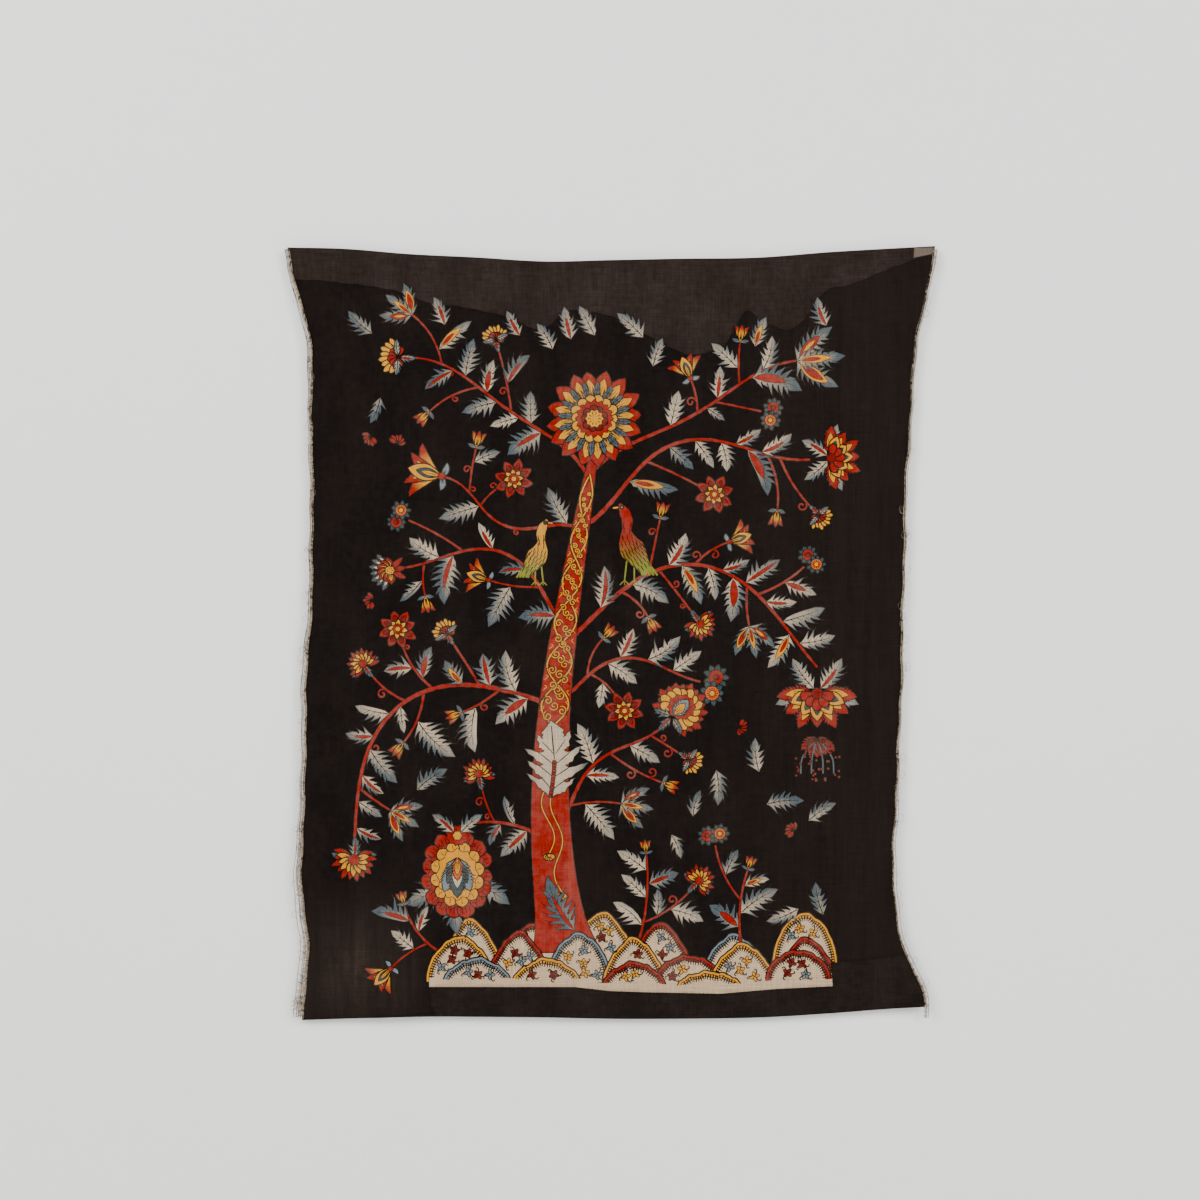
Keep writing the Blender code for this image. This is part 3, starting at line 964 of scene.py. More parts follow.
def bud(centre, radius, facing):
    """A closed flower: red petals that turn yellow at the foot, in two small leaves."""
    start = centre - heading_of(facing) * radius * 0.7
    for angle, bend in ((24, -10), (-24, 10), (0, 0)):
        tip = start + heading_of(facing + angle) * radius * 1.7
        petal(start, tip, radius * 0.52, bend, "plain", "red>yellow")
    for sign in (1, -1):
        tip = start + heading_of(facing + sign * 75) * radius * 0.9
        leaf(start, tip, radius * 0.36, 0, "none", "vein", 1.1)


def hanging(centre, radius, facing):
    """The largest hanging flower: a lotus, a smaller bell below it, blue stamens and strewn red dots."""
    lotus(centre, radius, facing)
    way, side = heading_of(facing), heading_of(facing + 90)
    bell = centre + way * radius * 1.15
    spray(bell, radius * 0.55, facing, 100, 5, radius * 0.24, "toothed", "red/dark")
    for sway in (-0.34, -0.12, 0.12, 0.34):
        steps = ((0.2, 0.4), (0.6, 1.2), (1.0, 1.3))
        points = [bell + way * radius * a + side * radius * sway * b for a, b in steps]
        pen(points, 2.4, "blue", taper=0.7)
    for along, across in chance.uniform(-1, 1, (44, 2)):
        spot = bell + way * radius * (0.75 + 0.45 * along) + side * radius * 0.6 * across
        button(spot, 1.1, 1.2, 5, 0.2, "red", marks=False)


# Columns: heading, reach as a share of the flower's radius, colours.
BOWL = [
    (248, 1.02, "grey/deep"),
    (292, 1.0, "grey/deep"),
    (270, 1.12, "deep/cream"),
    (270, 0.62, "orange/yellow"),
]


def ruffled(centre, radius, facing):
    """The big round flower: a red ruffle, yellow scallops and a bowl of indigo leaves with a yellow heart."""
    tall = np.array([1.0, 1.22])
    collar(centre, radius * 1.75, 90, 3, 120, 0.7)
    for angle in np.arange(0, 360, 24) + chance.uniform(-4, 4, 15):
        way = heading_of(angle) * radius * tall * chance.uniform(0.96, 1.06)
        width = radius * chance.uniform(0.40, 0.50)
        petal(centre + way * 0.5, centre + way * 1.03, width, 0, "round", "red")
        for lean in (-7, 0, 7):
            side = heading_of(angle + lean) * radius * tall
            pen([centre + side * 0.78, centre + side * 0.95], 1.4)
    button(centre, radius * 0.78, radius * 0.95, 14, 0.08, "red", marks=False)
    for angle in np.arange(12, 372, 30):
        way = heading_of(angle) * radius * tall * 0.78
        petal(centre + way * 0.4, centre + way, radius * 0.35, 0, "round", "yellow")
        pen([centre + way * 0.76, centre + way * 0.92], 1.4)
    button(centre, radius * 0.56, radius * 0.70, 12, 0.08, "yellow", marks=False)
    start = centre + np.array([0, 0.46 * radius])
    for angle, reach, colours in BOWL:
        tip = start + heading_of(angle) * radius * reach
        petal(start, tip, radius * 0.46 * reach, 0, "toothed", colours)
    top = centre + np.array([0, 1.12 * radius])
    button(top, radius * 0.30, radius * 0.26, 11, 0.12, "red")
    button(top, radius * 0.12, radius * 0.12, 6, 0.1, "yellow", marks=False)
    collar(top, radius * 0.95, 270, 2, 100, 0.6)


def seeded(centre, radius, facing):
    """Three leaves from one place, each with a red and yellow seed in its heart."""
    start = centre - heading_of(facing) * radius * 0.75
    for angle, core in ((38, "redyellow"), (-38, "yellowred"), (0, "yellowcore")):
        tip = start + heading_of(facing + angle) * radius * 1.75
        leaf(start, tip, radius * 0.74, angle / 8, "both", core, 0.75)


flower_kinds = [
    rosette, star, sunny, daisy, lotus, tulip, carnation, thistle, berries, bud, hanging, ruffled, seeded,
]
KINDS = {kind.__name__: kind for kind in flower_kinds}
print(len(KINDS), "kinds of flower")

# %% [markdown]
# ## Birds
# A bird is drawn as one swelling stroke from its crown to its tail, then given a wing, rows of feathers, an
# eye, a beak and two thin legs.

# %% Birds
# Columns: forward, up, width, all as shares of the bird's height.
BIRD = [(0.13, 1.00, 0.03), (0.10, 0.95, 0.15), (0.05, 0.86, 0.15), (0.02, 0.76, 0.12), (0.03, 0.60, 0.26),
        (0.0, 0.44, 0.36), (-0.10, 0.27, 0.30), (-0.20, 0.12, 0.20), (-0.27, 0.0, 0.16)]


def bird(perch, height, forward, colour, tip):
    """A standing bird: forward is 1 where it looks right and -1 where it looks left."""
    rows = np.array(BIRD)
    spine = perch + np.stack([rows[:, 0] * forward, rows[:, 1] + 0.10], axis=1) * height
    line = smooth_line(spine, 3.0)
    widths = np.interp(np.linspace(0, 1, len(line)), np.linspace(0, 1, len(rows)), rows[:, 2]) * height
    for share, lean in ((0.02, 0.04), (-0.08, 0.0)):
        hip = perch + np.array([share * forward, 0.36]) * height
        toe = perch + np.array([(share + lean) * forward, 0.0]) * height
        pen([hip, toe], 2.4, "leaf", taper=0.8)
        for spread in (-0.07, 0.0, 0.07):
            pen([toe, toe + np.array([spread, -0.07]) * height], 1.8, "leaf")
    body = ribbon(line, widths)
    down = {"place": perch + (0, height), "along": (0, -1 / height)}
    outlined(body, colour, 0.9, tip=tip, **down, run=(-0.25, 1.9, 0))
    for k in range(4):
        start = spine[-2] + np.array([(0.05 - 0.035 * k) * forward, 0.05]) * height
        pen([start, start + np.array([-(0.10 + 0.02 * k) * forward, -0.20]) * height], 4.0, tip)
    rows_of_feathers = np.arange(0.28, 0.90, 0.075)
    for number, s in enumerate(rows_of_feathers):
        at = int(s * (len(line) - 1))
        half = widths[at] / 2 - 2.0
        count = max(2, int(2 * half / 4.0))
        for share in np.linspace(-1, 1, count) + 0.3 * (number % 2) / count:
            spot = line[at] + normals(line)[at] * half * np.clip(share, -1, 1)
            ahead = line[min(at + 2, len(line) - 1)] - line[at]
            pen([spot, spot + ahead * 1.5], 1.6, spacing=2.0)
    head = spine[1]
    beak = head + np.array([0.13 * forward, -0.01]) * height
    pen([head + np.array([0.05 * forward, 0.0]) * height, beak], 3.0, "yellow")
    button(head, 2.5, 2.5, 6, 0, "line", marks=False)
    button(head, 1.1, 1.1, 6, 0, "deep" if colour == "yellow" else "yellow", marks=False)


print("birds ready")

# %% [markdown]
# ## The tree's plan
# A bough leaves the trunk at some height in some direction and turns steadily as it grows, with a slight
# sway. That is all a row of the table says. Twigs, leaves and strays are then grown by rule, each kept only
# where there is room, so the ground fills as evenly as it does under a painter's hand.

# %% Boughs
# Columns: height on the trunk, heading, length, turn, sway, width, flower, its size.
BOUGHS = [
    (0.50, 160, 470, 108, -14, 7.0, "sunny", 33),
    (0.66, 128, 300, 62, -22, 5.5, "thistle", 32),
    (0.86, 152, 235, 14, 34, 4.5, "tulip", 38),
    (0.96, 112, 330, 66, 16, 5.0, "daisy", 30),
    (0.22, 140, 150, 58, 0, 5.0, "ruffled", 52),
    (0.97, 52, 360, -46, -16, 5.5, "seeded", 42),
    (0.86, 30, 400, -26, 28, 6.0, "lotus", 45),
    (0.62, 42, 490, -92, 20, 6.5, "hanging", 56),
    (0.50, 34, 250, -48, 22, 5.0, "berries", 30),
    (0.24, 42, 250, 4, 24, 5.5, "carnation", 42),
]
# Shoots that rise from the mound: across, heading, length, turn, width, flower, its size.
SHOOTS = [
    (44, 74, 130, 22, 3.5, "bud", 12),
    (196, 98, 110, -26, 3.5, "bud", 12),
    (-256, 150, 90, -44, 3.5, "bud", 12),
]
TWIG_KINDS = ["star", "bud", "daisy", "seeded", "bud", "sunny", "berries", "tulip", "bud"]
TWIG_SIZES = {"star": 29, "bud": 15, "daisy": 22, "seeded": 28, "sunny": 24, "berries": 23, "tulip": 25}
TOP_FLOWER, TOP_FLOWER_RADIUS = on_trunk(1.0, 0.5) + (3.0, 62.0), 72.0
HEARTS = ["vein"] * 6 + ["slit"] * 2 + ["longslit", "redcore", "yellowcore"]
SIDES_TOOTHED = ["both"] * 8 + ["left", "right"]


def grow(start, heading, length, turn, sway=0.0):
    """A line that starts in one direction and turns evenly, with a sway of one whole wave."""
    t = np.linspace(0, 1, max(6, int(length / 5)))
    way = np.radians(heading + turn * t + sway * np.sin(2 * np.pi * t))
    steps = np.stack([np.cos(way), np.sin(way)], axis=1) * length / (len(t) - 1)
    return np.asarray(start) + np.cumsum(steps, axis=0) - steps[0], np.degrees(way)


def stem_room(line, start=0.0):
    """Discs along a stem."""
    return [(x, z, 3.0) for x, z in line[int(start * len(line))::2]]


stems, leaves, flowers = [], [], []


def add_flower(kind, place, radius, facing):
    """Notes a flower and takes its room."""
    flowers.append((kind, place, radius, facing))
    taken.append((*place, radius * (1.15 if kind in ("lotus", "hanging", "ruffled") else 0.95)))
    if kind == "hanging":
        taken.append((*(place + heading_of(facing) * radius * 1.5), radius * 0.8))
    if kind == "ruffled":
        taken.append((*(place + np.array([0, radius * 1.2])), radius * 0.7))


def plan_boughs():
    """The boughs and shoots with the flowers that end them."""
    for height, heading, length, turn, sway, width, kind, size in BOUGHS:
        line, way = grow(on_trunk(height, 0.5), heading, length, turn, sway)
        stems.append((line, way, width))
        facing = 270 if kind in ("hanging", "ruffled") else way[-1]
        reach = size * (1.36 if kind == "ruffled" else 0.7)
        push = heading_of(270 if kind == "ruffled" else facing) * reach
        add_flower(kind, line[-1] + push, size, facing)
    for x, heading, length, turn, width, kind, size in SHOOTS:
        line, way = grow((x, float(mound_top(np.array([float(x)]))[0]) - 4), heading, length, turn)
        stems.append((line, way, width))
        add_flower(kind, line[-1] + heading_of(way[-1]) * size * 0.7, size, way[-1])
    for line, _, _ in stems:
        taken.extend(stem_room(line))
    taken.append((*TOP_FLOWER, TOP_FLOWER_RADIUS + 2))
    up = np.linspace(0, 1, 60)
    left, right = on_trunk(up, 0.0), on_trunk(up, 1.0)
    taken.extend([(*((a + b) / 2), (b[0] - a[0]) / 2 + 3) for a, b in zip(left, right)])


def plan_twigs(tries=26):
    """Short twigs off every bough, each ending in a small flower, wherever both have room."""
    number = 0
    for line, way, width in list(stems):
        length = 5.0 * len(line)
        for _ in range(int(length / 78)):
            kind = TWIG_KINDS[number % len(TWIG_KINDS)]
            size = TWIG_SIZES[kind]
            for _ in range(tries):
                at = int(chance.uniform(0.16, 0.92) * (len(line) - 1))
                side = chance.choice([-1, 1])
                reach = chance.uniform(42, 96)
                heading, turn = way[at] + side * chance.uniform(38, 70), side * chance.uniform(-50, 40)
                twig, twig_way = grow(line[at], heading, reach, turn)
                end = twig[-1] + heading_of(twig_way[-1]) * size * 0.7
                if is_free([(*end, size * 1.05), *stem_room(twig, 0.34)], 9):
                    stems.append((twig, twig_way, max(2.4, width * 0.5)))
                    taken.extend(stem_room(twig))
                    add_flower(kind, end, size, twig_way[-1])
                    number += 1
                    break
    return number


def plan_leaves(tries=7):
    """Leaves on alternate sides of every stem, made smaller or turned until they have room."""
    for line, way, width in stems:
        side = chance.choice([-1, 1])
        for at in range(4, len(line) - 2, 4):
            side = -side
            for attempt in range(tries):
                length = chance.uniform(48, 78) * (1 - 0.07 * attempt)
                heading = way[at] + side * chance.uniform(34, 72)
                share = chance.uniform(0.44, 0.60)
                base = line[at] + heading_of(heading) * 3
                tip = base + heading_of(heading) * length
                if is_free(leaf_room(base, tip, length * share), 4.0):
                    bend, teeth = -side * chance.uniform(0, 9), chance.choice(SIDES_TOOTHED)
                    core, tone = chance.choice(HEARTS), chance.uniform(0.2, 0.95)
                    leaves.append((base, tip, length * share, bend, teeth, core, tone))
                    taken.extend(leaf_room(base, tip, length * share))
                    break


def plan_crown(pitch=44.0, tries=14):
    """Leaves along the crown whose tips just pass the cut edge, so the cut runs from tip to tip."""
    for x in np.arange(-300, 335, pitch):
        for _ in range(tries):
            across = x + chance.uniform(-18, 18)
            length = chance.uniform(42, 60)
            heading = heading_of(chance.uniform(40, 140))
            tip = np.array([across, float(crown(across))]) + (0, 9)
            base = tip - heading * length
            if is_free([*leaf_room(base, tip, length * 0.5), (*base, 4)], 4.0):
                bend, core = chance.uniform(-8, 8), chance.choice(HEARTS)
                leaves.append((base, tip, length * 0.5, bend, "both", core, 0.6))
                taken.extend([*leaf_room(base, tip, length * 0.5), (*base, 4)])
                break


def plan_strays(wanted=16, tries=900):
    """A few loose leaves and half flowers where the ground would otherwise lie empty."""
    made = 0
    for _ in range(tries):
        if made == wanted:
            break
        base = np.array([chance.uniform(-370, 330), chance.uniform(-1050, -90)])
        length = chance.uniform(34, 56)
        tip = base + heading_of(chance.uniform(0, 360)) * length
        if is_free([*leaf_room(base, tip, length * 0.45), (*base, 6)], 13):
            made += 1
            taken.extend([*leaf_room(base, tip, length * 0.45), (*base, 6)])
            if made % 3:
                leaves.append((base, tip, length * 0.45, 5, "both", "vein", chance.uniform(0.4, 1.0)))
            else:
                flowers.append(("half", base, 13.0, chance.uniform(0, 360)))
    return made


def plan_curls(wanted=26, tries=500):
    """Curling tendrils that spring from the stems."""
    curls = []
    for _ in range(tries):
        if len(curls) == wanted:
            break
        line, way, _ = stems[chance.integers(len(stems))]
        at = chance.integers(2, len(line) - 2)
        side = chance.choice([-1, 1])
        radius = chance.uniform(4.5, 8.0)
        middle = line[at] + heading_of(way[at] + 90 * side) * (radius + 1)
        if is_free([(*(middle + heading_of(way[at] + 90 * side) * 4), radius * 0.6)], 1):
            curls.append((middle, radius, way[at] - 90 * side, side))
            taken.append((*middle, radius))
    return curls


plan_boughs()
# Columns: bough, share along it, height, forward, colour, tail colour.
BIRDS = [(7, 0.28, 104, -1, "red", "leaf"), (1, 0.24, 84, 1, "yellow", "leaf")]
perches = []
for number, share, height, forward, colour, tip in BIRDS:
    line = stems[number][0]
    perch = line[int(share * len(line))] + np.array([0.0, 8.0])
    perches.append((perch, height, forward, colour, tip))
    taken.extend([(*(perch + (0, height * up)), height * 0.22) for up in (0.35, 0.6, 0.85, 1.05)])
twigs = plan_twigs()
plan_leaves()
plan_crown()
strays = plan_strays()
curls = plan_curls()
print(twigs, "twigs,", len(leaves), "leaves and", len(flowers), "flowers, of them", strays, "strays")

# %% [markdown]
# ## Painting it
# The plan is now drawn in the painter's order: the far rocks, the branches, the trunk, the near rocks, then
# leaves, flowers and birds on top.


# %% Paint
def draw():
    """Lays the whole design."""
    for row in ROCKS[:BACK_ROCKS]:
        rock(*row)
    for middle, radius, start, turn in curls:
        spiral(middle, radius, start, turn, 2.0, "red", turns=1.1, ink=1.6)
    for line, _, width in stems[::-1]:
        wavy = 1 + 0.10 * np.sin(np.arange(len(line)) * 1.7)
        taper = np.linspace(width, max(2.2, width * 0.5), len(line)) * wavy
        lay(ribbon(line, taper + 1.8), "line")
        lay(ribbon(line, taper), "red")
    trunk()
    for row in ROCKS[BACK_ROCKS:]:
        rock(*row)
    bare_strip()
    count = strew_crosses()
    for base, tip, width, bend, teeth, core, tone in leaves:
        leaf(base, tip, width, bend, teeth, core, tone)
    great_leaf(on_trunk(0.315, 0.5), on_trunk(0.47, 0.42), 84.0)
    leaf(on_trunk(0.045, 0.72), on_trunk(0.155, 0.34), 34.0, 8, "both", "slit", 1.1)
    for kind, place, radius, facing in flowers:
        if kind == "half":
            spray(place, radius, facing, 150, 6, radius * 0.42, "plain", "red")
        else:
            KINDS[kind](place, radius, facing)
    rosette(TOP_FLOWER, TOP_FLOWER_RADIUS, 90)
    for perch, height, forward, colour, tip in perches:
        bird(perch, height, forward, colour, tip)
    return count


crosses = draw()
print(crosses, "crossed flowers and", len(curls), "curls;", len(layers), "shapes laid in all")

# %% [markdown]
# ## From shapes to cloth
# The drawing becomes one sheet. All the outlines are laid together and the plane is cut into triangles that
# follow every line. Each triangle takes the colour of the last shape laid over it, which keeps the pen lines
# crisp without a picture. Where a leaf or flower stands out past the cut edge, the cloth was cut round it, so
# its triangles stay too.


# %% Cut the plane and colour it
CROWN_ABOVE = -240.0


def cut_plane(places, edges):
    """Triangles that follow every edge (a constrained Delaunay triangulation)."""
    made = delaunay_2d_cdt([Vector(p) for p in places.tolist()], edges.tolist(), [], 0, 1e-3, False)
    places, triangles = np.array([tuple(v) for v in made[0]]), np.array(made[2])
    corner = places[triangles]
    area = np.cross(corner[:, 1] - corner[:, 0], corner[:, 2] - corner[:, 0]) / 2
    triangles[area < 0] = triangles[area < 0][:, ::-1]
    return places, triangles[np.abs(area) > 1e-4]


def colour_triangles(places, triangles):
    """The last shape over each triangle, found one shape at a time among the triangles near it."""
    middle = places[triangles].mean(axis=1)
    order = np.argsort(middle[:, 0])
    middle = middle[order]
    top = np.full(len(triangles), -1)
    for number, layer in enumerate(layers):
        shape = layer[0]
        low, high = shape.min(axis=0), shape.max(axis=0)
        a, b = np.searchsorted(middle[:, 0], [low[0], high[0]])
        near = a + np.flatnonzero((middle[a:b, 1] >= low[1]) & (middle[a:b, 1] <= high[1]))
        if len(near):
            top[near[inside(middle[near], shape)]] = number
    result = np.empty_like(top)
    result[order] = top
    return result


def cut_cloth(places, edges):
    """Places, triangles and the shape over each, for the triangles that belong to the cloth."""
    places, triangles = cut_plane(places, edges)
    topmost = colour_triangles(places, triangles)
    middles = places[triangles].mean(axis=1)
    kept = ((topmost >= 0) & (middles[:, 1] > CROWN_ABOVE)) | inside(middles, outline)
    return places, triangles[kept], topmost[kept]


shapes = [outline] + [layer[0] for layer in layers]
sizes = np.array([len(shape) for shape in shapes])
starts = np.repeat(np.cumsum(sizes) - sizes, sizes)
turns = np.arange(sizes.sum()) - starts
all_edges = np.stack([starts + turns, starts + (turns + 1) % np.repeat(sizes, sizes)], axis=1)
places, triangles, topmost = cut_cloth(np.concatenate(shapes), all_edges)
print(len(all_edges), "edges laid,", len(triangles), "triangles with the hidden lines still in them")

# %% [markdown]
# ## Only the lines that show
# Much of what was laid is covered again: a branch runs on under a flower, and a petal under its button. The
# plane is cut a second time with just the edges where the colour changes and an even lattice, which lets the
# sheet bend over its folds. Where an edge runs on almost straight, the places it can spare are left out.
# About a third of the triangles remain.

# %% Keep the lines that show
PITCH = 9.0
LATTICE_LEFT, LATTICE_RIGHT, LATTICE_FOOT, LATTICE_TOP = -480.0, 486.0, -1136.0, 12.0
LATTICE_SHIFT = (0.37, 0.53)


def colour_numbers():
    """A number for each shape that is the same for two shapes of one even colour; bare cloth comes last."""
    rows = np.array([np.concatenate([np.ravel(part) for part in layer[1:]]) for layer in layers])
    even = ~rows[:, -3:].any(axis=1)
    rows[even, 3:] = 0
    return np.append(np.unique(rows, axis=0, return_inverse=True)[1].ravel(), -1)


def showing_edges(triangles, colours):
    """The edges with another colour, or nothing, on their other side."""
    sides = np.sort(triangles[:, [[0, 1], [1, 2], [2, 0]]].reshape(-1, 2), axis=1)
    key = sides[:, 0] * np.int64(triangles.max() + 1) + sides[:, 1]
    order = np.argsort(key, kind="stable")
    key, colour, sides = key[order], np.repeat(colours, 3)[order], sides[order]
    starts_here = np.append(True, key[1:] != key[:-1])
    twin = np.append(~starts_here[1:], False)
    alike = np.append(colour[1:] == colour[:-1], False)
    return sides[starts_here & ~(twin & alike)]


def straightened(places, edges, tolerance=0.14, longest=14.0, rounds=8):
    """Leaves out a place where only two edges meet and it lies within the tolerance of a straight run."""
    pick = np.random.default_rng(5)
    for _ in range(rounds):
        ends = edges.ravel()
        order = np.argsort(ends, kind="stable")
        count = np.bincount(ends, minlength=len(places))
        first = np.cumsum(count) - count
        pairs = np.flatnonzero(count == 2)
        one, other = order[first[pairs]], order[first[pairs] + 1]
        before, after = ends[one ^ 1], ends[other ^ 1]
        span = places[after] - places[before]
        length = np.hypot(span[:, 0], span[:, 1])
        off = np.abs(np.cross(span, places[pairs] - places[before])) / np.maximum(length, 1e-9)
        flat = (off < tolerance) & (length < longest) & (before != after)
        rank = np.zeros(len(places))
        rank[pairs[flat]] = 1 + pick.random(flat.sum())
        going = flat & (rank[pairs] > rank[before]) & (rank[pairs] > rank[after])
        edges[one[going] // 2] = np.stack([before[going], after[going]], axis=1)
        edges = np.delete(edges, other[going] // 2, axis=0)
    return edges


shown = showing_edges(triangles, colour_numbers()[topmost])
fewer = straightened(places, shown.copy())
print(len(shown), "edges show,", len(fewer), "of them needed")
used, ends = np.unique(fewer, return_inverse=True)
across = np.arange(LATTICE_LEFT, LATTICE_RIGHT, PITCH)
up = np.arange(LATTICE_FOOT, LATTICE_TOP, PITCH)
lattice = np.stack(np.meshgrid(across, up), axis=-1).reshape(-1, 2) + LATTICE_SHIFT
places, triangles, topmost = cut_cloth(np.concatenate([places[used], lattice]), ends.reshape(-1, 2))
print(len(places), "places,", len(triangles), "triangles,", int((topmost >= 0).sum()), "of them painted")

# %% [markdown]
# ## How the dye runs
# Inside a leaf the cream turns to indigo, so each corner of each triangle gets its own share of the two
# colours. The share is worked out for all corners at once from the figures that each shape carries. The
# black ground is marked with a zero, so that its material can fade and streak it in its own way.


# %% Dye for every corner
def corner_dyes():
    """Colour for each corner of each triangle, with 1 in the last column where the cloth is painted."""
    first = np.array([layer[1] for layer in layers] + [dye("black")])
    last = np.array([layer[2] for layer in layers] + [dye("black")])
    origin = np.array([layer[3] for layer in layers] + [(0, 0)], float)
    along = np.array([layer[4] for layer in layers] + [(0, 0)], float)
    across = np.array([layer[5] for layer in layers] + [(0, 0)], float)
    run = np.array([layer[6] for layer in layers] + [(0, 0, 0)], float)
    pick = np.repeat(topmost, 3)
    offset = places[triangles].reshape(-1, 2) - origin[pick]
    s = (offset * along[pick]).sum(axis=1)
    t = (offset * across[pick]).sum(axis=1)
    share = np.clip(run[pick, 0] + run[pick, 1] * s**2 + run[pick, 2] * t**2, 0, 1)[:, None]
    colour = first[pick] * (1 - share) + last[pick] * share
    return np.concatenate([colour, (pick[:, None] >= 0).astype(float)], axis=1)


dyes = corner_dyes()
print("corner colours:", dyes.shape)

# %% [markdown]
# ## Cloth, thread and dye as materials
# Hand-spun yarn is uneven, so the cloth has thin streaks along both its threads. One shared group makes those
# slubs and the fine weave. Another fades a colour in soft clouds, the way old dye wears.


# %% Shared groups
def new_group(name, inputs, outputs):
    """An empty shader group with named inputs (with start values) and outputs."""
    group = bpy.data.node_groups.new(name, "ShaderNodeTree")
    for label, kind, value in inputs:
        made = group.interface.new_socket(label, in_out="INPUT", socket_type=kind)
        made.default_value = value
    for label, kind in outputs:
        group.interface.new_socket(label, in_out="OUTPUT", socket_type=kind)
    return group, group.nodes.new("NodeGroupInput"), group.nodes.new("NodeGroupOutput")


def feed(tree, socket, source):
    """Links a socket to another, or sets it where the source is a plain value."""
    if isinstance(source, bpy.types.NodeSocket):
        tree.links.new(source, socket)
    else:
        socket.default_value = source


def node(tree, kind, sources=(), **settings):
    """A node with its settings and what feeds each of its inputs."""
    made = tree.nodes.new(kind)
    for key, value in settings.items():
        setattr(made, key, value)
    for label, source in sources:
        feed(tree, made.inputs[label], source)
    return made


def maths(tree, operation, first, second=0.0, clamp=False):
    """One sum on two numbers."""
    settings = {"operation": operation, "use_clamp": clamp}
    return node(tree, "ShaderNodeMath", [(0, first), (1, second)], **settings).outputs[0]


def ranged(tree, value, low, high, first=0.0, last=1.0, **settings):
    """A value carried from one range to another and held at both ends."""
    ends = [("Value", value), ("From Min", low), ("From Max", high), ("To Min", first), ("To Max", last)]
    return node(tree, "ShaderNodeMapRange", ends, **settings).outputs[0]


def mixed(tree, factor, first, second):
    """One colour mixed into another; the colour sockets are found by their type."""
    made = node(tree, "ShaderNodeMix", data_type="RGBA")
    colours = [socket for socket in made.inputs if socket.type == "RGBA"]
    feed(tree, made.inputs[0], factor)
    feed(tree, colours[0], first)
    feed(tree, colours[1], second)
    return [socket for socket in made.outputs if socket.type == "RGBA"][0]


def drawn_noise(tree, scales, detail=2.0):
    """Noise drawn out by its own scale on each axis of the object."""
    where = node(tree, "ShaderNodeTexCoord").outputs["Object"]
    drawn = node(tree, "ShaderNodeVectorMath", [(0, where), (1, scales)], operation="MULTIPLY").outputs[0]
    noise = node(tree, "ShaderNodeTexNoise", [("Vector", drawn), ("Scale", 1.0), ("Detail", detail)])
    return noise.outputs[0]


def build_weave():
    """Threads: tone is 1 + slub (warp + weft + 0.6 fine - 1.3); height adds a checked sine for the weave."""
    inputs = [("Slub", "NodeSocketFloat", 0.5), ("Threads per metre", "NodeSocketFloat", 1100.0)]
    group, start, end = new_group(
        "Hand-woven threads", inputs, [("Tone", "NodeSocketFloat"), ("Height", "NodeSocketFloat")]
    )
    warp = drawn_noise(group, (560.0, 560.0, 24.0))
    weft = drawn_noise(group, (20.0, 20.0, 640.0))
    fine = drawn_noise(group, (900.0, 900.0, 900.0), 1.0)
    streaks = maths(group, "ADD", maths(group, "ADD", warp, weft), maths(group, "MULTIPLY", fine, 0.6))
    swing = maths(group, "MULTIPLY", maths(group, "SUBTRACT", streaks, 1.30), start.outputs["Slub"])
    where = node(group, "ShaderNodeTexCoord").outputs["Object"]
    split = node(group, "ShaderNodeSeparateXYZ", [(0, where)])
    turn = maths(group, "MULTIPLY", start.outputs["Threads per metre"], 2 * np.pi)
    across = maths(group, "SINE", maths(group, "MULTIPLY", split.outputs["X"], turn))
    up = maths(group, "SINE", maths(group, "MULTIPLY", split.outputs["Z"], turn))
    check = maths(group, "MULTIPLY", maths(group, "MULTIPLY", across, up), 0.25)
    feed(group, end.inputs["Tone"], maths(group, "ADD", swing, 1.0))
    feed(group, end.inputs["Height"], maths(group, "ADD", check, streaks))
    return group


def build_wear():
    """Worn dye: the colour clouded towards a faded one, then times the yarn's tone.

    The faded share is the clouding times 5 (0.6 cloud + 0.4 spots - 0.42), held between 0 and 1.
    """
    inputs = [
        ("Colour", "NodeSocketColor", (0.5, 0.5, 0.5, 1)),
        ("Faded colour", "NodeSocketColor", (0.06, 0.05, 0.045, 1)),
        ("Clouding", "NodeSocketFloat", 0.2),
        ("Tone", "NodeSocketFloat", 1.0),
    ]
    group, start, end = new_group("Worn dye", inputs, [("Colour", "NodeSocketColor")])
    cloud = maths(group, "MULTIPLY", drawn_noise(group, (14.0, 14.0, 9.0), 4.0), 0.6)
    spots = maths(group, "MULTIPLY", drawn_noise(group, (110.0, 110.0, 110.0), 3.0), 0.4)
    uneven = maths(group, "SUBTRACT", maths(group, "ADD", cloud, spots), 0.42)
    thin = maths(group, "MULTIPLY", uneven, 5.0, clamp=True)
    share = maths(group, "MULTIPLY", thin, start.outputs["Clouding"])
    faded = mixed(group, share, start.outputs["Colour"], start.outputs["Faded colour"])
    toned = node(group, "ShaderNodeVectorMath", [(0, faded)], operation="SCALE")
    feed(group, toned.inputs["Scale"], start.outputs["Tone"])
    feed(group, end.inputs["Colour"], toned.outputs[0])
    return group


WEAVE, WEAR = build_weave(), build_wear()


def use(tree, group, **sources):
    """A node that uses a shared group, its inputs named with underscores for spaces."""
    made = node(tree, "ShaderNodeGroup", node_tree=group)
    for label, source in sources.items():
        feed(tree, made.inputs[label.replace("_", " ")], source)
    return made


print("groups:", WEAVE.name, "and", WEAR.name)

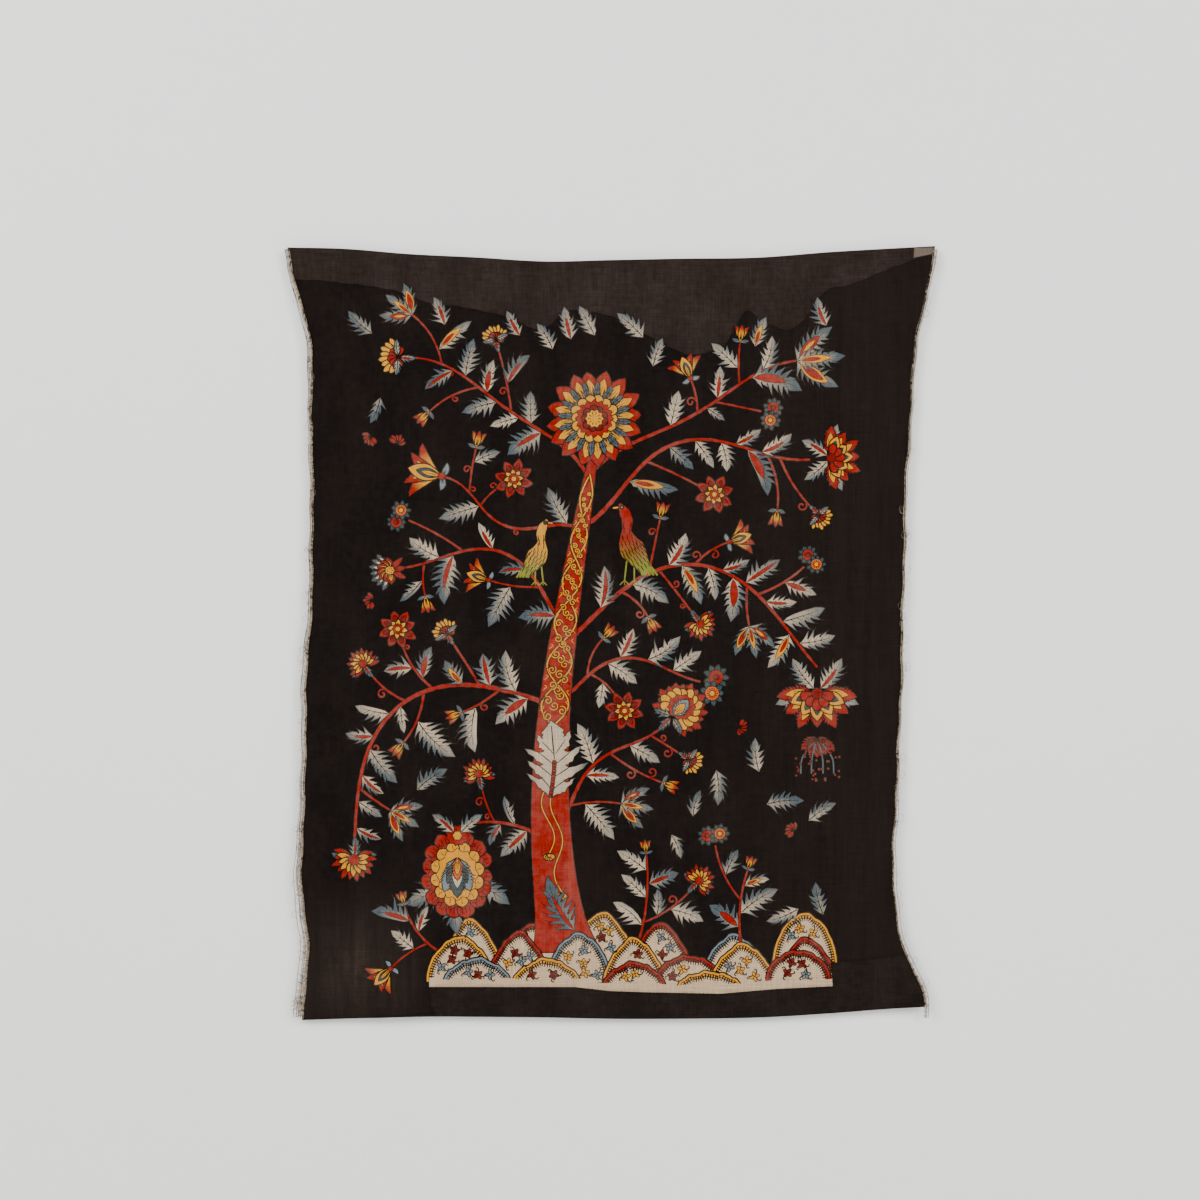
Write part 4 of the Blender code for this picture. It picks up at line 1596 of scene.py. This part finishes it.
# %% [markdown]
# ## The cloths' finishes
# Old cotton is matt: nearly all its light comes back scattered and very little is mirrored. The painted cloth
# has three tones of black: deepest round the tree, browner and streaked up and down towards the right, and
# paler round the crease in the lower left corner, a painted sheen on the crease along with some rubbing.

# %% Materials
TOP_BROWN, TOP_FADED = (0.0150, 0.0099, 0.0079, 1), (0.0245, 0.0170, 0.0137, 1)
FOOT_BROWN, FOOT_FADED = (0.0085, 0.0058, 0.0048, 1), (0.0150, 0.0104, 0.0086, 1)
INK_BLACK = (0.0046, 0.0031, 0.0026, 1)
INK_FADED = (0.0118, 0.0078, 0.0062, 1)
# Paler black for the lower left crease: a painted sheen on the crease, with some rubbing.
INK_SHEEN_AND_RUBBED = (0.0340, 0.0235, 0.0175, 1)
BARE_COTTON = (0.360, 0.280, 0.195, 1)
PALE_COTTON, PALE_FADED = (0.105, 0.082, 0.062, 1), (0.10, 0.085, 0.07, 1)
FIGURE_FADED = (0.40, 0.31, 0.22, 1)
THREAD_DYED, THREAD_FADED = (0.045, 0.032, 0.024, 1), (0.20, 0.155, 0.11, 1)
SEWING_DARK, SEWING_FADED = (0.0085, 0.0065, 0.006, 1), (0.02, 0.015, 0.012, 1)
ROUGHNESS, MIRRORED, BUMP, BUMP_HEIGHT = 0.92, 0.05, 0.35, 0.0004
# Middle of the painted sheen on the lower left crease, in metres.
CREASE_SHEEN_AND_RUB_PLACE = (-0.385, 0.0, -1.065)


def cotton(name, slub):
    """A matt cotton; gives the material, its tree, its shader's colour socket and the yarn's tone."""
    made = bpy.data.materials.new(name)
    made.use_nodes = True
    tree = made.node_tree
    shader = tree.nodes["Principled BSDF"]
    shader.inputs["Roughness"].default_value = ROUGHNESS
    shader.inputs["Specular IOR Level"].default_value = MIRRORED
    weave = use(tree, WEAVE, Slub=slub)
    raised = [("Strength", BUMP), ("Distance", BUMP_HEIGHT), ("Height", weave.outputs["Height"])]
    feed(tree, shader.inputs["Normal"], node(tree, "ShaderNodeBump", raised).outputs["Normal"])
    return made, tree, shader.inputs["Base Color"], weave.outputs["Tone"]


def plain_cotton(name, colour, faded, clouding, slub):
    """Cotton of one colour."""
    made, tree, colour_socket, tone = cotton(name, slub)
    worn = use(tree, WEAR, Colour=colour, Faded_colour=faded, Clouding=clouding, Tone=tone)
    feed(tree, colour_socket, worn.outputs[0])
    return made


def painted_cotton():
    """The painted cloth: the laid dyes where it is painted, and streaked iron black elsewhere."""
    made, tree, colour_socket, tone = cotton("Painted cotton", 0.75)
    laid = node(tree, "ShaderNodeAttribute", attribute_name="Dye")
    where = node(tree, "ShaderNodeTexCoord").outputs["Object"]
    across = node(tree, "ShaderNodeSeparateXYZ", [(0, where)]).outputs["X"]
    to_right = ranged(tree, across, 0.05, 0.42, 0.10, 0.85, interpolation_type="SMOOTHSTEP")
    streak = maths(tree, "MULTIPLY", drawn_noise(tree, (85.0, 85.0, 3.0), 3.0), 1.5)
    # Painted sheen on the lower left crease, with some rubbing: the black turns paler near it.
    away = node(tree, "ShaderNodeVectorMath", [(0, where), (1, CREASE_SHEEN_AND_RUB_PLACE)], operation="DISTANCE")
    near = ranged(tree, away.outputs["Value"], 0.14, 0.01, 0.0, 0.9)
    streaked = maths(tree, "MULTIPLY", to_right, streak)
    base = mixed(tree, maths(tree, "MINIMUM", streaked, 1.0), INK_BLACK, INK_FADED)
    sheen_and_rub = maths(tree, "MULTIPLY", near, maths(tree, "MULTIPLY", streak, 0.9), clamp=True)
    base = mixed(tree, sheen_and_rub, base, INK_SHEEN_AND_RUBBED)
    ground = use(tree, WEAR, Colour=base, Faded_colour=INK_FADED, Clouding=0.55, Tone=tone)
    dyed = laid.outputs["Color"]
    figure = use(tree, WEAR, Colour=dyed, Faded_colour=FIGURE_FADED, Clouding=0.10, Tone=tone)
    feed(tree, colour_socket, mixed(tree, laid.outputs["Alpha"], ground.outputs[0], figure.outputs[0]))
    return made


def brown_cotton():
    """The brown backing: lighter along the top and darker at the foot."""
    made, tree, colour_socket, tone = cotton("Brown cotton", 0.95)
    where = node(tree, "ShaderNodeTexCoord").outputs["Object"]
    height = node(tree, "ShaderNodeSeparateXYZ", [(0, where)]).outputs["Z"]
    up = ranged(tree, height, -1.0, -0.15)
    full, faded = mixed(tree, up, FOOT_BROWN, TOP_BROWN), mixed(tree, up, FOOT_FADED, TOP_FADED)
    worn = use(tree, WEAR, Colour=full, Faded_colour=faded, Clouding=0.8, Tone=tone)
    feed(tree, colour_socket, worn.outputs[0])
    return made


def raw_thread():
    """Ravelled thread: undyed, but dark wherever it ran through the dyed cloth."""
    made, tree, colour_socket, tone = cotton("Raw thread", 0.4)
    patches = maths(tree, "SUBTRACT", drawn_noise(tree, (260.0, 260.0, 190.0), 3.0), 0.50)
    dyed = maths(tree, "MULTIPLY", patches, 9.0, clamp=True)
    mottled = mixed(tree, dyed, BARE_COTTON, THREAD_DYED)
    worn = use(tree, WEAR, Colour=mottled, Faded_colour=THREAD_FADED, Clouding=0.5, Tone=tone)
    feed(tree, colour_socket, worn.outputs[0])
    return made


PAINTED = painted_cotton()
BACKING = brown_cotton()
RAW = raw_thread()
PATCH = plain_cotton("Pale cotton", PALE_COTTON, PALE_FADED, 0.6, 0.5)
SEWING = plain_cotton("Dark sewing thread", SEWING_DARK, SEWING_FADED, 0.5, 0.2)
print("materials:", [m.name for m in (PAINTED, BACKING, RAW, PATCH, SEWING)])

# %% [markdown]
# ## Meshes from whole arrays
# Every mesh goes in as arrays of places and faces. The finished pieces stand at the origin, unturned, with
# their faces outward, and each hides the solids that it replaces.


# %% Making pieces
def put(name, data):
    """A new object in the scene."""
    made = bpy.data.objects.new(name, data)
    bpy.context.scene.collection.objects.link(made)
    return made


def add_mesh(name, vertices, faces, finish):
    """A mesh object from vertices in millimetres and faces that all have the same number of corners."""
    faces = np.asarray(faces, np.int32)
    corners = faces.shape[1]
    mesh = bpy.data.meshes.new(name)
    mesh.vertices.add(len(vertices))
    mesh.vertices.foreach_set("co", (np.asarray(vertices) * MM).astype(np.float32).ravel())
    mesh.loops.add(faces.size)
    mesh.loops.foreach_set("vertex_index", faces.ravel())
    mesh.polygons.add(len(faces))
    mesh.polygons.foreach_set("loop_start", np.arange(0, faces.size, corners, dtype=np.int32))
    mesh.update(calc_edges=True)
    mesh.validate()
    mesh.polygons.foreach_set("use_smooth", np.ones(len(mesh.polygons), bool))
    mesh.materials.append(finish)
    return put(name, mesh)


def settle(piece, nodes=()):
    """A finished piece rides on the one body and hides the solids it stands for."""
    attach(piece, ROOT)
    if nodes:
        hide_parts(*nodes)
    print(piece.name, len(piece.data.polygons), "faces")
    return piece


def closed_sheet(front, back):
    """A thin closed sheet from two equal grids of places: both faces and a wall round the rim."""
    rows, columns, _ = front.shape
    count = rows * columns
    index = np.arange(count).reshape(rows, columns)
    cell = [index[:-1, :-1], index[:-1, 1:], index[1:, 1:], index[1:, :-1]]
    face = np.stack(cell, axis=-1).reshape(-1, 4)
    rim = np.concatenate([index[0], index[1:, -1], index[-1, -2::-1], index[-2:0:-1, 0]])
    after = np.roll(rim, -1)
    wall = np.stack([rim, rim + count, after + count, after], axis=1)
    vertices = np.concatenate([front.reshape(-1, 3), back.reshape(-1, 3)])
    return vertices, np.concatenate([face, face[:, ::-1] + count, wall])


def threads(lines, radius, sides=3):
    """Round threads along many lines at once: a ring of corners at each place, square to the line."""
    lines = np.asarray(lines, float)
    count, places_each, _ = lines.shape
    ahead = np.gradient(lines, axis=1)
    ahead /= np.maximum(np.linalg.norm(ahead, axis=-1, keepdims=True), 1e-9)
    first = np.cross(ahead, (0.0, 1.0, 0.0))
    first /= np.maximum(np.linalg.norm(first, axis=-1, keepdims=True), 1e-9)
    second = np.cross(ahead, first)
    turn = 2 * np.pi * np.arange(sides) / sides
    ring_way = first[:, :, None] * np.cos(turn)[:, None] + second[:, :, None] * np.sin(turn)[:, None]
    size = np.broadcast_to(np.asarray(radius, float), (count, places_each))[..., None, None]
    vertices = (lines[:, :, None] + ring_way * size).reshape(-1, 3)
    rings = np.arange(count)[:, None, None] * places_each + np.arange(places_each - 1)[None, :, None]
    start = rings * sides
    here, beside = start + np.arange(sides), start + (np.arange(sides) + 1) % sides
    faces = np.stack([here, beside, beside + sides, here + sides], axis=-1).reshape(-1, 4)
    return vertices, faces


print("ready to make pieces")

# %% [markdown]
# ## The brown cloth
# The backing is a newer, plain brown cotton. Its sides are raw and its top and bottom are turned to the back
# in narrow hems, so the cloth is thicker there. It carries every fold of the solid and the small creases.

# %% Brown cloth
HALF_THICK = 0.35
CLOTH_HEIGHT = 1150.0
HEM_DEPTH, HEM_EXTRA = 12.0, 1.1
PAINTED_AHEAD = 1.15
TURNED_EDGE = 0.25


def hung_places(x, z, ahead):
    """Places on the hung cloth, so far in front of its middle."""
    return np.stack([x, -bulge(x, z) - ahead, z], axis=-1)


hem_rows = np.array([0.0, 0.0015, 0.004, 0.007, 0.0095, 0.0108, 0.0125])
up = np.concatenate([hem_rows, np.linspace(0.02, 0.98, 150), 1 - hem_rows[::-1]])
across = np.linspace(0, 1, 130)
grid_x, grid_z = hung_grid(across, up)
from_end = np.minimum(1 - up, up)[:, None] * CLOTH_HEIGHT
in_hem = smoothstep((HEM_DEPTH + 1 - from_end) / 2.0)
rolled = 1 - 0.75 * np.exp(-from_end / 0.8)
front = hung_places(grid_x, grid_z, HALF_THICK * rolled)
back = hung_places(grid_x, grid_z, -(HALF_THICK + HEM_EXTRA * in_hem) * rolled)
ground = add_mesh("brown_cloth", *closed_sheet(front, back), BACKING)
settle(ground, ["ground_cloth"])

# %% [markdown]
# ## The painted cloth
# The triangles of the drawing are hung on the folds just in front of the brown cloth. A narrow strip turns
# its edge back to the brown cloth, as where the raw edge was folded under before it was sewn.

# %% Painted cloth
CHART_CORNER, CHART_SIZE = (500, 1150), (1000, 1180)


def rim_edges(triangles):
    """The edges that only one triangle has, each running the way its triangle does."""
    sides = triangles[:, [[0, 1], [1, 2], [2, 0]]].reshape(-1, 2)
    key = sides.min(axis=1) * np.int64(triangles.max() + 1) + sides.max(axis=1)
    _, pick, count = np.unique(key, return_index=True, return_counts=True)
    return sides[pick[count == 1]]


rim = rim_edges(triangles)
rim_places, rim_ends = np.unique(rim, return_inverse=True)
rim_ends = rim_ends.reshape(-1, 2)
way = places[rim[:, 1]] - places[rim[:, 0]]
outward = np.stack([way[:, 1], -way[:, 0]], axis=1) / np.linalg.norm(way, axis=1)[:, None]
push = np.zeros((len(rim_places), 2))
np.add.at(push, rim_ends.ravel(), np.repeat(outward, 2, axis=0))
push *= TURNED_EDGE / np.maximum(np.linalg.norm(push, axis=1), 1e-9)[:, None]
under = places[rim_places] + push
flat = hung_places(places[:, 0], places[:, 1], PAINTED_AHEAD)
edge_back = hung_places(under[:, 0], under[:, 1], HALF_THICK + TURNED_EDGE)
back_ends = rim_ends + len(places)
turned = np.concatenate([
    np.stack([rim[:, 0], back_ends[:, 0], rim[:, 1]], axis=1),
    np.stack([rim[:, 1], back_ends[:, 0], back_ends[:, 1]], axis=1),
])
painted = add_mesh(
    "painted_tree_cloth", np.concatenate([flat, edge_back]), np.concatenate([triangles, turned]), PAINTED
)
laid = painted.data.color_attributes.new("Dye", "FLOAT_COLOR", "CORNER")
rim_dyes = np.tile([*DYES["black"], 0.0], (turned.size, 1))
laid.data.foreach_set("color", np.concatenate([dyes, rim_dyes]).astype(np.float32).ravel())
where = np.empty(len(painted.data.vertices) * 3, np.float32)
painted.data.vertices.foreach_get("co", where)
where = where.reshape(-1, 3) / MM
corner_of = np.empty(len(painted.data.loops), np.int32)
painted.data.loops.foreach_get("vertex_index", corner_of)
chart = painted.data.uv_layers.new(name="OFBake")
flat_chart = (where[corner_of][:, [0, 2]] + CHART_CORNER) / CHART_SIZE
chart.data.foreach_set("uv", flat_chart.astype(np.float32).ravel())
settle(painted, ["painted_cloth"])

# %% [markdown]
# ## The corner patch
# A scrap of paler cloth covers the top right corner. It is a thin sheet of its own in front of both cloths.

# %% Corner patch
PATCH_FRONT, PATCH_BACK = 2.25, 1.65
# Columns: across, up, at the patch's four corners from the lower left.
PATCH_CORNERS = np.array([(455.0, 3.0), (484.0, 9.0), (485.0, 19.0), (456.0, 18.0)])


def patch_grid(columns=14, rows=8):
    """Places on the patch: its four corners blended, its edges slightly wavy."""
    u, v = np.meshgrid(np.linspace(0, 1, columns), np.linspace(0, 1, rows))
    a, b, c, d = PATCH_CORNERS
    u, v = u[..., None], v[..., None]
    place = a * (1 - u) * (1 - v) + b * u * (1 - v) + c * u * v + d * (1 - u) * v
    return place + 0.35 * np.sin(place[..., ::-1] * 1.3)


spot = patch_grid()
patch_front = hung_places(spot[..., 0], spot[..., 1], PATCH_FRONT)
patch_back = hung_places(spot[..., 0], spot[..., 1], PATCH_BACK)
patch = add_mesh("corner_scrap", *closed_sheet(patch_front, patch_back), PATCH)
settle(patch, ["corner_patch"])

# %% [markdown]
# ## Frayed sides
# Both sides are raw edges that have ravelled. A few warp threads still run down beside the cloth, hundreds of
# short weft ends stand out through them, and here and there a loose thread curls away. The left side has
# ravelled more, most of all near the foot, where the bare threads make a broad pale band.

# %% Fray
# Columns: height, how far the fray reaches out at the left, and at the right.
FRAY_REACH = [
    (21, 7, 7),
    (-120, 7, 4),
    (-300, 6, 4),
    (-520, 7, 5),
    (-640, 9, 6),
    (-860, 10, 6),
    (-960, 15, 6),
    (-1060, 15, 8),
    (-1141, 17, 7),
]
FRAY_FOOT, FRAY_TOP = -1136.0, 16.0
loose = np.random.default_rng(19)


def wander(z, seeds, size):
    """A slow sideways wander: a sum of four sines with their own lengths and starts."""
    lengths = np.array([210.0, 97.0, 41.0, 17.0])
    return size * (np.sin(z[..., None] / lengths + seeds) * (0.5, 0.3, 0.15, 0.08)).sum(axis=-1)


def fray(name, column, sign, edge_at, warps, ends, curls_count, node_name):
    """One ravelled side: warp threads, weft ends and loose curls, joined."""
    z = np.linspace(FRAY_FOOT, FRAY_TOP, 330)
    warp_lines = []
    for k in range(warps):
        share = (k + 0.3) / warps
        out = smooth_curve(FRAY_REACH, column, z) * share * 0.8 + wander(z, loose.uniform(0, 6, 4), 2.4)
        x = edge_at(z) + sign * np.maximum(out - 1.0, -1.6)
        warp_lines.append(np.stack([x, -bulge(x, z) - 1.5 + 0.2 * np.sin(z / 3 + k), z], axis=-1))
    parts = [threads(np.array(warp_lines), 0.55)]
    s = np.linspace(0, 1, 4)
    root_z = np.sort(loose.uniform(FRAY_FOOT, FRAY_TOP, ends))
    tufts = 0.72 + 0.30 * np.sin(root_z / 7.3) * np.sin(root_z / 19.0 + 1) + 0.22 * np.sin(root_z / 47.0)
    reach = smooth_curve(FRAY_REACH, column, root_z) * loose.uniform(0.3, 1.15, ends) * tufts
    lean = loose.normal(0, 0.35, ends)[:, None]
    out = reach[:, None] * s
    z_end = root_z[:, None] + reach[:, None] * (lean * s + 0.25 * np.sin(3 * s + lean * 9))
    x_end = edge_at(z_end) + sign * (out - 2.4)
    y_end = -bulge(x_end, z_end) - 1.5 + 0.8 * lean * s**2 * np.sin(root_z)[:, None]
    z_end = np.clip(z_end, FRAY_FOOT - 4, FRAY_TOP + 8)
    parts.append(threads(np.stack([x_end, y_end, z_end], axis=-1), 0.40 * (1 - 0.5 * s)))
    t = np.linspace(0, 1, 22)
    root_z = loose.uniform(FRAY_FOOT + 20, FRAY_TOP - 20, curls_count)[:, None]
    ranges = ((2.0, 6.5), (0, 6.3), (4, 9))
    size, first, wind = (loose.uniform(a, b, curls_count)[:, None] for a, b in ranges)
    radius = size * (1 - 0.5 * t)
    x = edge_at(root_z + 0 * t) + sign * (smooth_curve(FRAY_REACH, column, root_z) * (0.5 + 0.3 * t))
    x = x + radius * (np.cos(first + wind * t) - np.cos(first))
    z_curl = root_z + radius * 1.3 * (np.sin(first + wind * t) - np.sin(first)) + 5 * t
    y = -bulge(x, z_curl) - 0.6 - 1.5 * np.sin(np.pi * t)
    parts.append(threads(np.stack([x, y, z_curl], axis=-1), 0.22))
    starts = np.cumsum([0] + [len(v) for v, _ in parts[:-1]])
    vertices = np.concatenate([v for v, _ in parts])
    faces = np.concatenate([f + start for (_, f), start in zip(parts, starts)])
    return settle(add_mesh(name, vertices, faces, RAW), [node_name])


left_fray = fray("left_ravelled_threads", 1, -1, left_edge, 6, 2300, 60, "left_frayed_edge")
right_fray = fray("right_ravelled_threads", 2, 1, right_edge, 3, 1300, 46, "right_frayed_edge")

# %% [markdown]
# ## Stitches
# Small running stitches hold both hems, and slanted stitches hold the painted cloth along its cut edges. They
# are of a thread as dark as the cloth, so they show only as a slight beading.


# %% Stitches
def stitches(name, middles, ways, length, radius, lift):
    """Short threads that rise a little out of the cloth and dip back into it at both ends."""
    s = np.linspace(-0.5, 0.5, 5)
    x = middles[:, None, 0] + ways[:, None, 0] * length * s
    z = middles[:, None, 1] + ways[:, None, 1] * length * s
    y = -bulge(x, z) - lift * (1 - (2 * s) ** 2) - HALF_THICK
    return settle(add_mesh(name, *threads(np.stack([x, y, z], axis=-1), radius), SEWING))


hem_x = np.arange(-440, 460, 6.4)
hem_top = np.stack([hem_x, smooth_curve(ENDS, 1, hem_x) - 9.5], axis=1)
hem_low = np.stack([hem_x, smooth_curve(ENDS, 2, hem_x) + 9.5], axis=1)
hem_ways = np.tile([1.0, 0.03], (len(hem_x), 1))
hem_stitches = stitches(
    "hem_stitches", np.concatenate([hem_top, hem_low]), np.concatenate([hem_ways] * 2), 3.2, 0.22, 0.25
)
out_way = -normals(outline, closed=True)
inner = (outline[:, 0] > left_edge(outline[:, 1]) + 4) & (outline[:, 0] < right_edge(outline[:, 1]) - 4)
claimed = np.array(taken, float)
clear_of_motifs = np.hypot(*(outline[:, None] - claimed[:, :2]).transpose(2, 0, 1)) > claimed[:, 2] + 4
inner &= clear_of_motifs.all(axis=1)
slanted = out_way * 0.8 + np.stack([-out_way[:, 1], out_way[:, 0]], axis=1) * 0.5
edge_stitches = stitches("edge_stitches", outline[inner], slanted[inner], 3.4, 0.24, 1.35)

# %% [markdown]
# ## The sheets
# The cloths were flat before they hung.

# %% Sheets
print("sheets declared")

# %% [markdown]
# ## Where it hangs
# The hanging is shown on a pale, plain wall above a plain floor. Soft light comes from the upper left and
# right and from the front, and one more light from behind the wall reaches the hanging's back.

# %% Stage
FLOOR_HEIGHT = -1.60
WALL_DEPTH = 0.012
WALL_WHITE, FLOOR_GREY = (0.89, 0.885, 0.87, 1), (0.78, 0.78, 0.77, 1)
AIR_GREY = (0.80, 0.80, 0.80, 1)


def backdrop(name, corners, colour, see_through_back):
    """A plain surface. It can be clear from behind and let light past, so that the hanging's back shows."""
    made = bpy.data.materials.new(name)
    made.use_nodes = True
    tree = made.node_tree
    shader = tree.nodes["Principled BSDF"]
    shader.inputs["Base Color"].default_value = colour
    shader.inputs["Roughness"].default_value = 0.9
    shader.inputs["Specular IOR Level"].default_value = 0.1
    if see_through_back:
        facing = node(tree, "ShaderNodeNewGeometry").outputs["Backfacing"]
        shadow = node(tree, "ShaderNodeLightPath").outputs["Is Shadow Ray"]
        clear = node(tree, "ShaderNodeBsdfTransparent")
        both = node(tree, "ShaderNodeMixShader", [(0, maths(tree, "MAXIMUM", facing, shadow))])
        feed(tree, both.inputs[1], shader.outputs[0])
        feed(tree, both.inputs[2], clear.outputs[0])
        tree.links.new(both.outputs[0], tree.nodes["Material Output"].inputs["Surface"])
    mesh = bpy.data.meshes.new(name)
    mesh.from_pydata(corners, [], [(0, 1, 2, 3)])
    mesh.materials.append(made)
    surface = put(name, mesh)
    surface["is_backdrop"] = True


wall = [(x, WALL_DEPTH, z) for x, z in ((-4, FLOOR_HEIGHT), (4, FLOOR_HEIGHT), (4, 3), (-4, 3))]
floor = [(x, y, FLOOR_HEIGHT) for x, y in ((-4, -6), (4, -6), (4, 4), (-4, 4))]
backdrop("wall", wall, WALL_WHITE, True)
backdrop("floor", floor, FLOOR_GREY, False)


def soft_light(name, place, target, size, power):
    """A square soft light at a place, turned to a target."""
    data = bpy.data.lights.new(name, "AREA")
    data.size = size
    data.energy = power
    light = put(name, data)
    light.location = place
    light.rotation_euler = (Vector(target) - Vector(place)).to_track_quat("-Z", "Y").to_euler()


# Columns: name, place, target, size, power.
LIGHTS = [
    ("upper left", (-2.6, -3.0, 1.6), (0.0, 0.0, -0.5), 1.8, 172),
    ("upper right", (2.6, -3.2, 1.0), (0.0, 0.0, -0.5), 1.8, 132),
    ("front", (0.0, -4.6, 0.4), (0.0, 0.0, -0.6), 2.6, 78),
    ("behind", (1.6, 3.6, 1.2), (0.0, 0.0, -0.5), 2.4, 150),
]
for row in LIGHTS:
    soft_light(*row)
air = bpy.data.worlds.new("pale air")
air.use_nodes = True
air.node_tree.nodes["Background"].inputs["Color"].default_value = AIR_GREY
air.node_tree.nodes["Background"].inputs["Strength"].default_value = 0.22
bpy.context.scene.world = air
print("a wall, a floor and", len(LIGHTS), "soft lights")

# %% [markdown]
# ## The camera
# The camera stands level and square to the wall, far enough away for a long lens. Everything is in focus.

# %% Camera
CAMERA_PLACE = (-0.015, -4.5, -0.51)
camera_data = bpy.data.cameras.new("camera")
camera_data.lens = 90
camera_data.sensor_width = 36
camera_data.dof.use_dof = False
camera = put("camera", camera_data)
camera.location = CAMERA_PLACE
camera.rotation_euler = (np.pi / 2, 0, 0)
bpy.context.scene.camera = camera
print("camera", tuple(round(v, 3) for v in camera.location))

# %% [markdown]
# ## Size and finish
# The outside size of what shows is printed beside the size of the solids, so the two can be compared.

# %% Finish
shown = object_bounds()
sizes = {
    "solids": [list(map(float, corner_place)) for corner_place in SOLID_BOUNDS],
    "shown": [list(map(float, corner_place)) for corner_place in shown],
}
print(sizes)
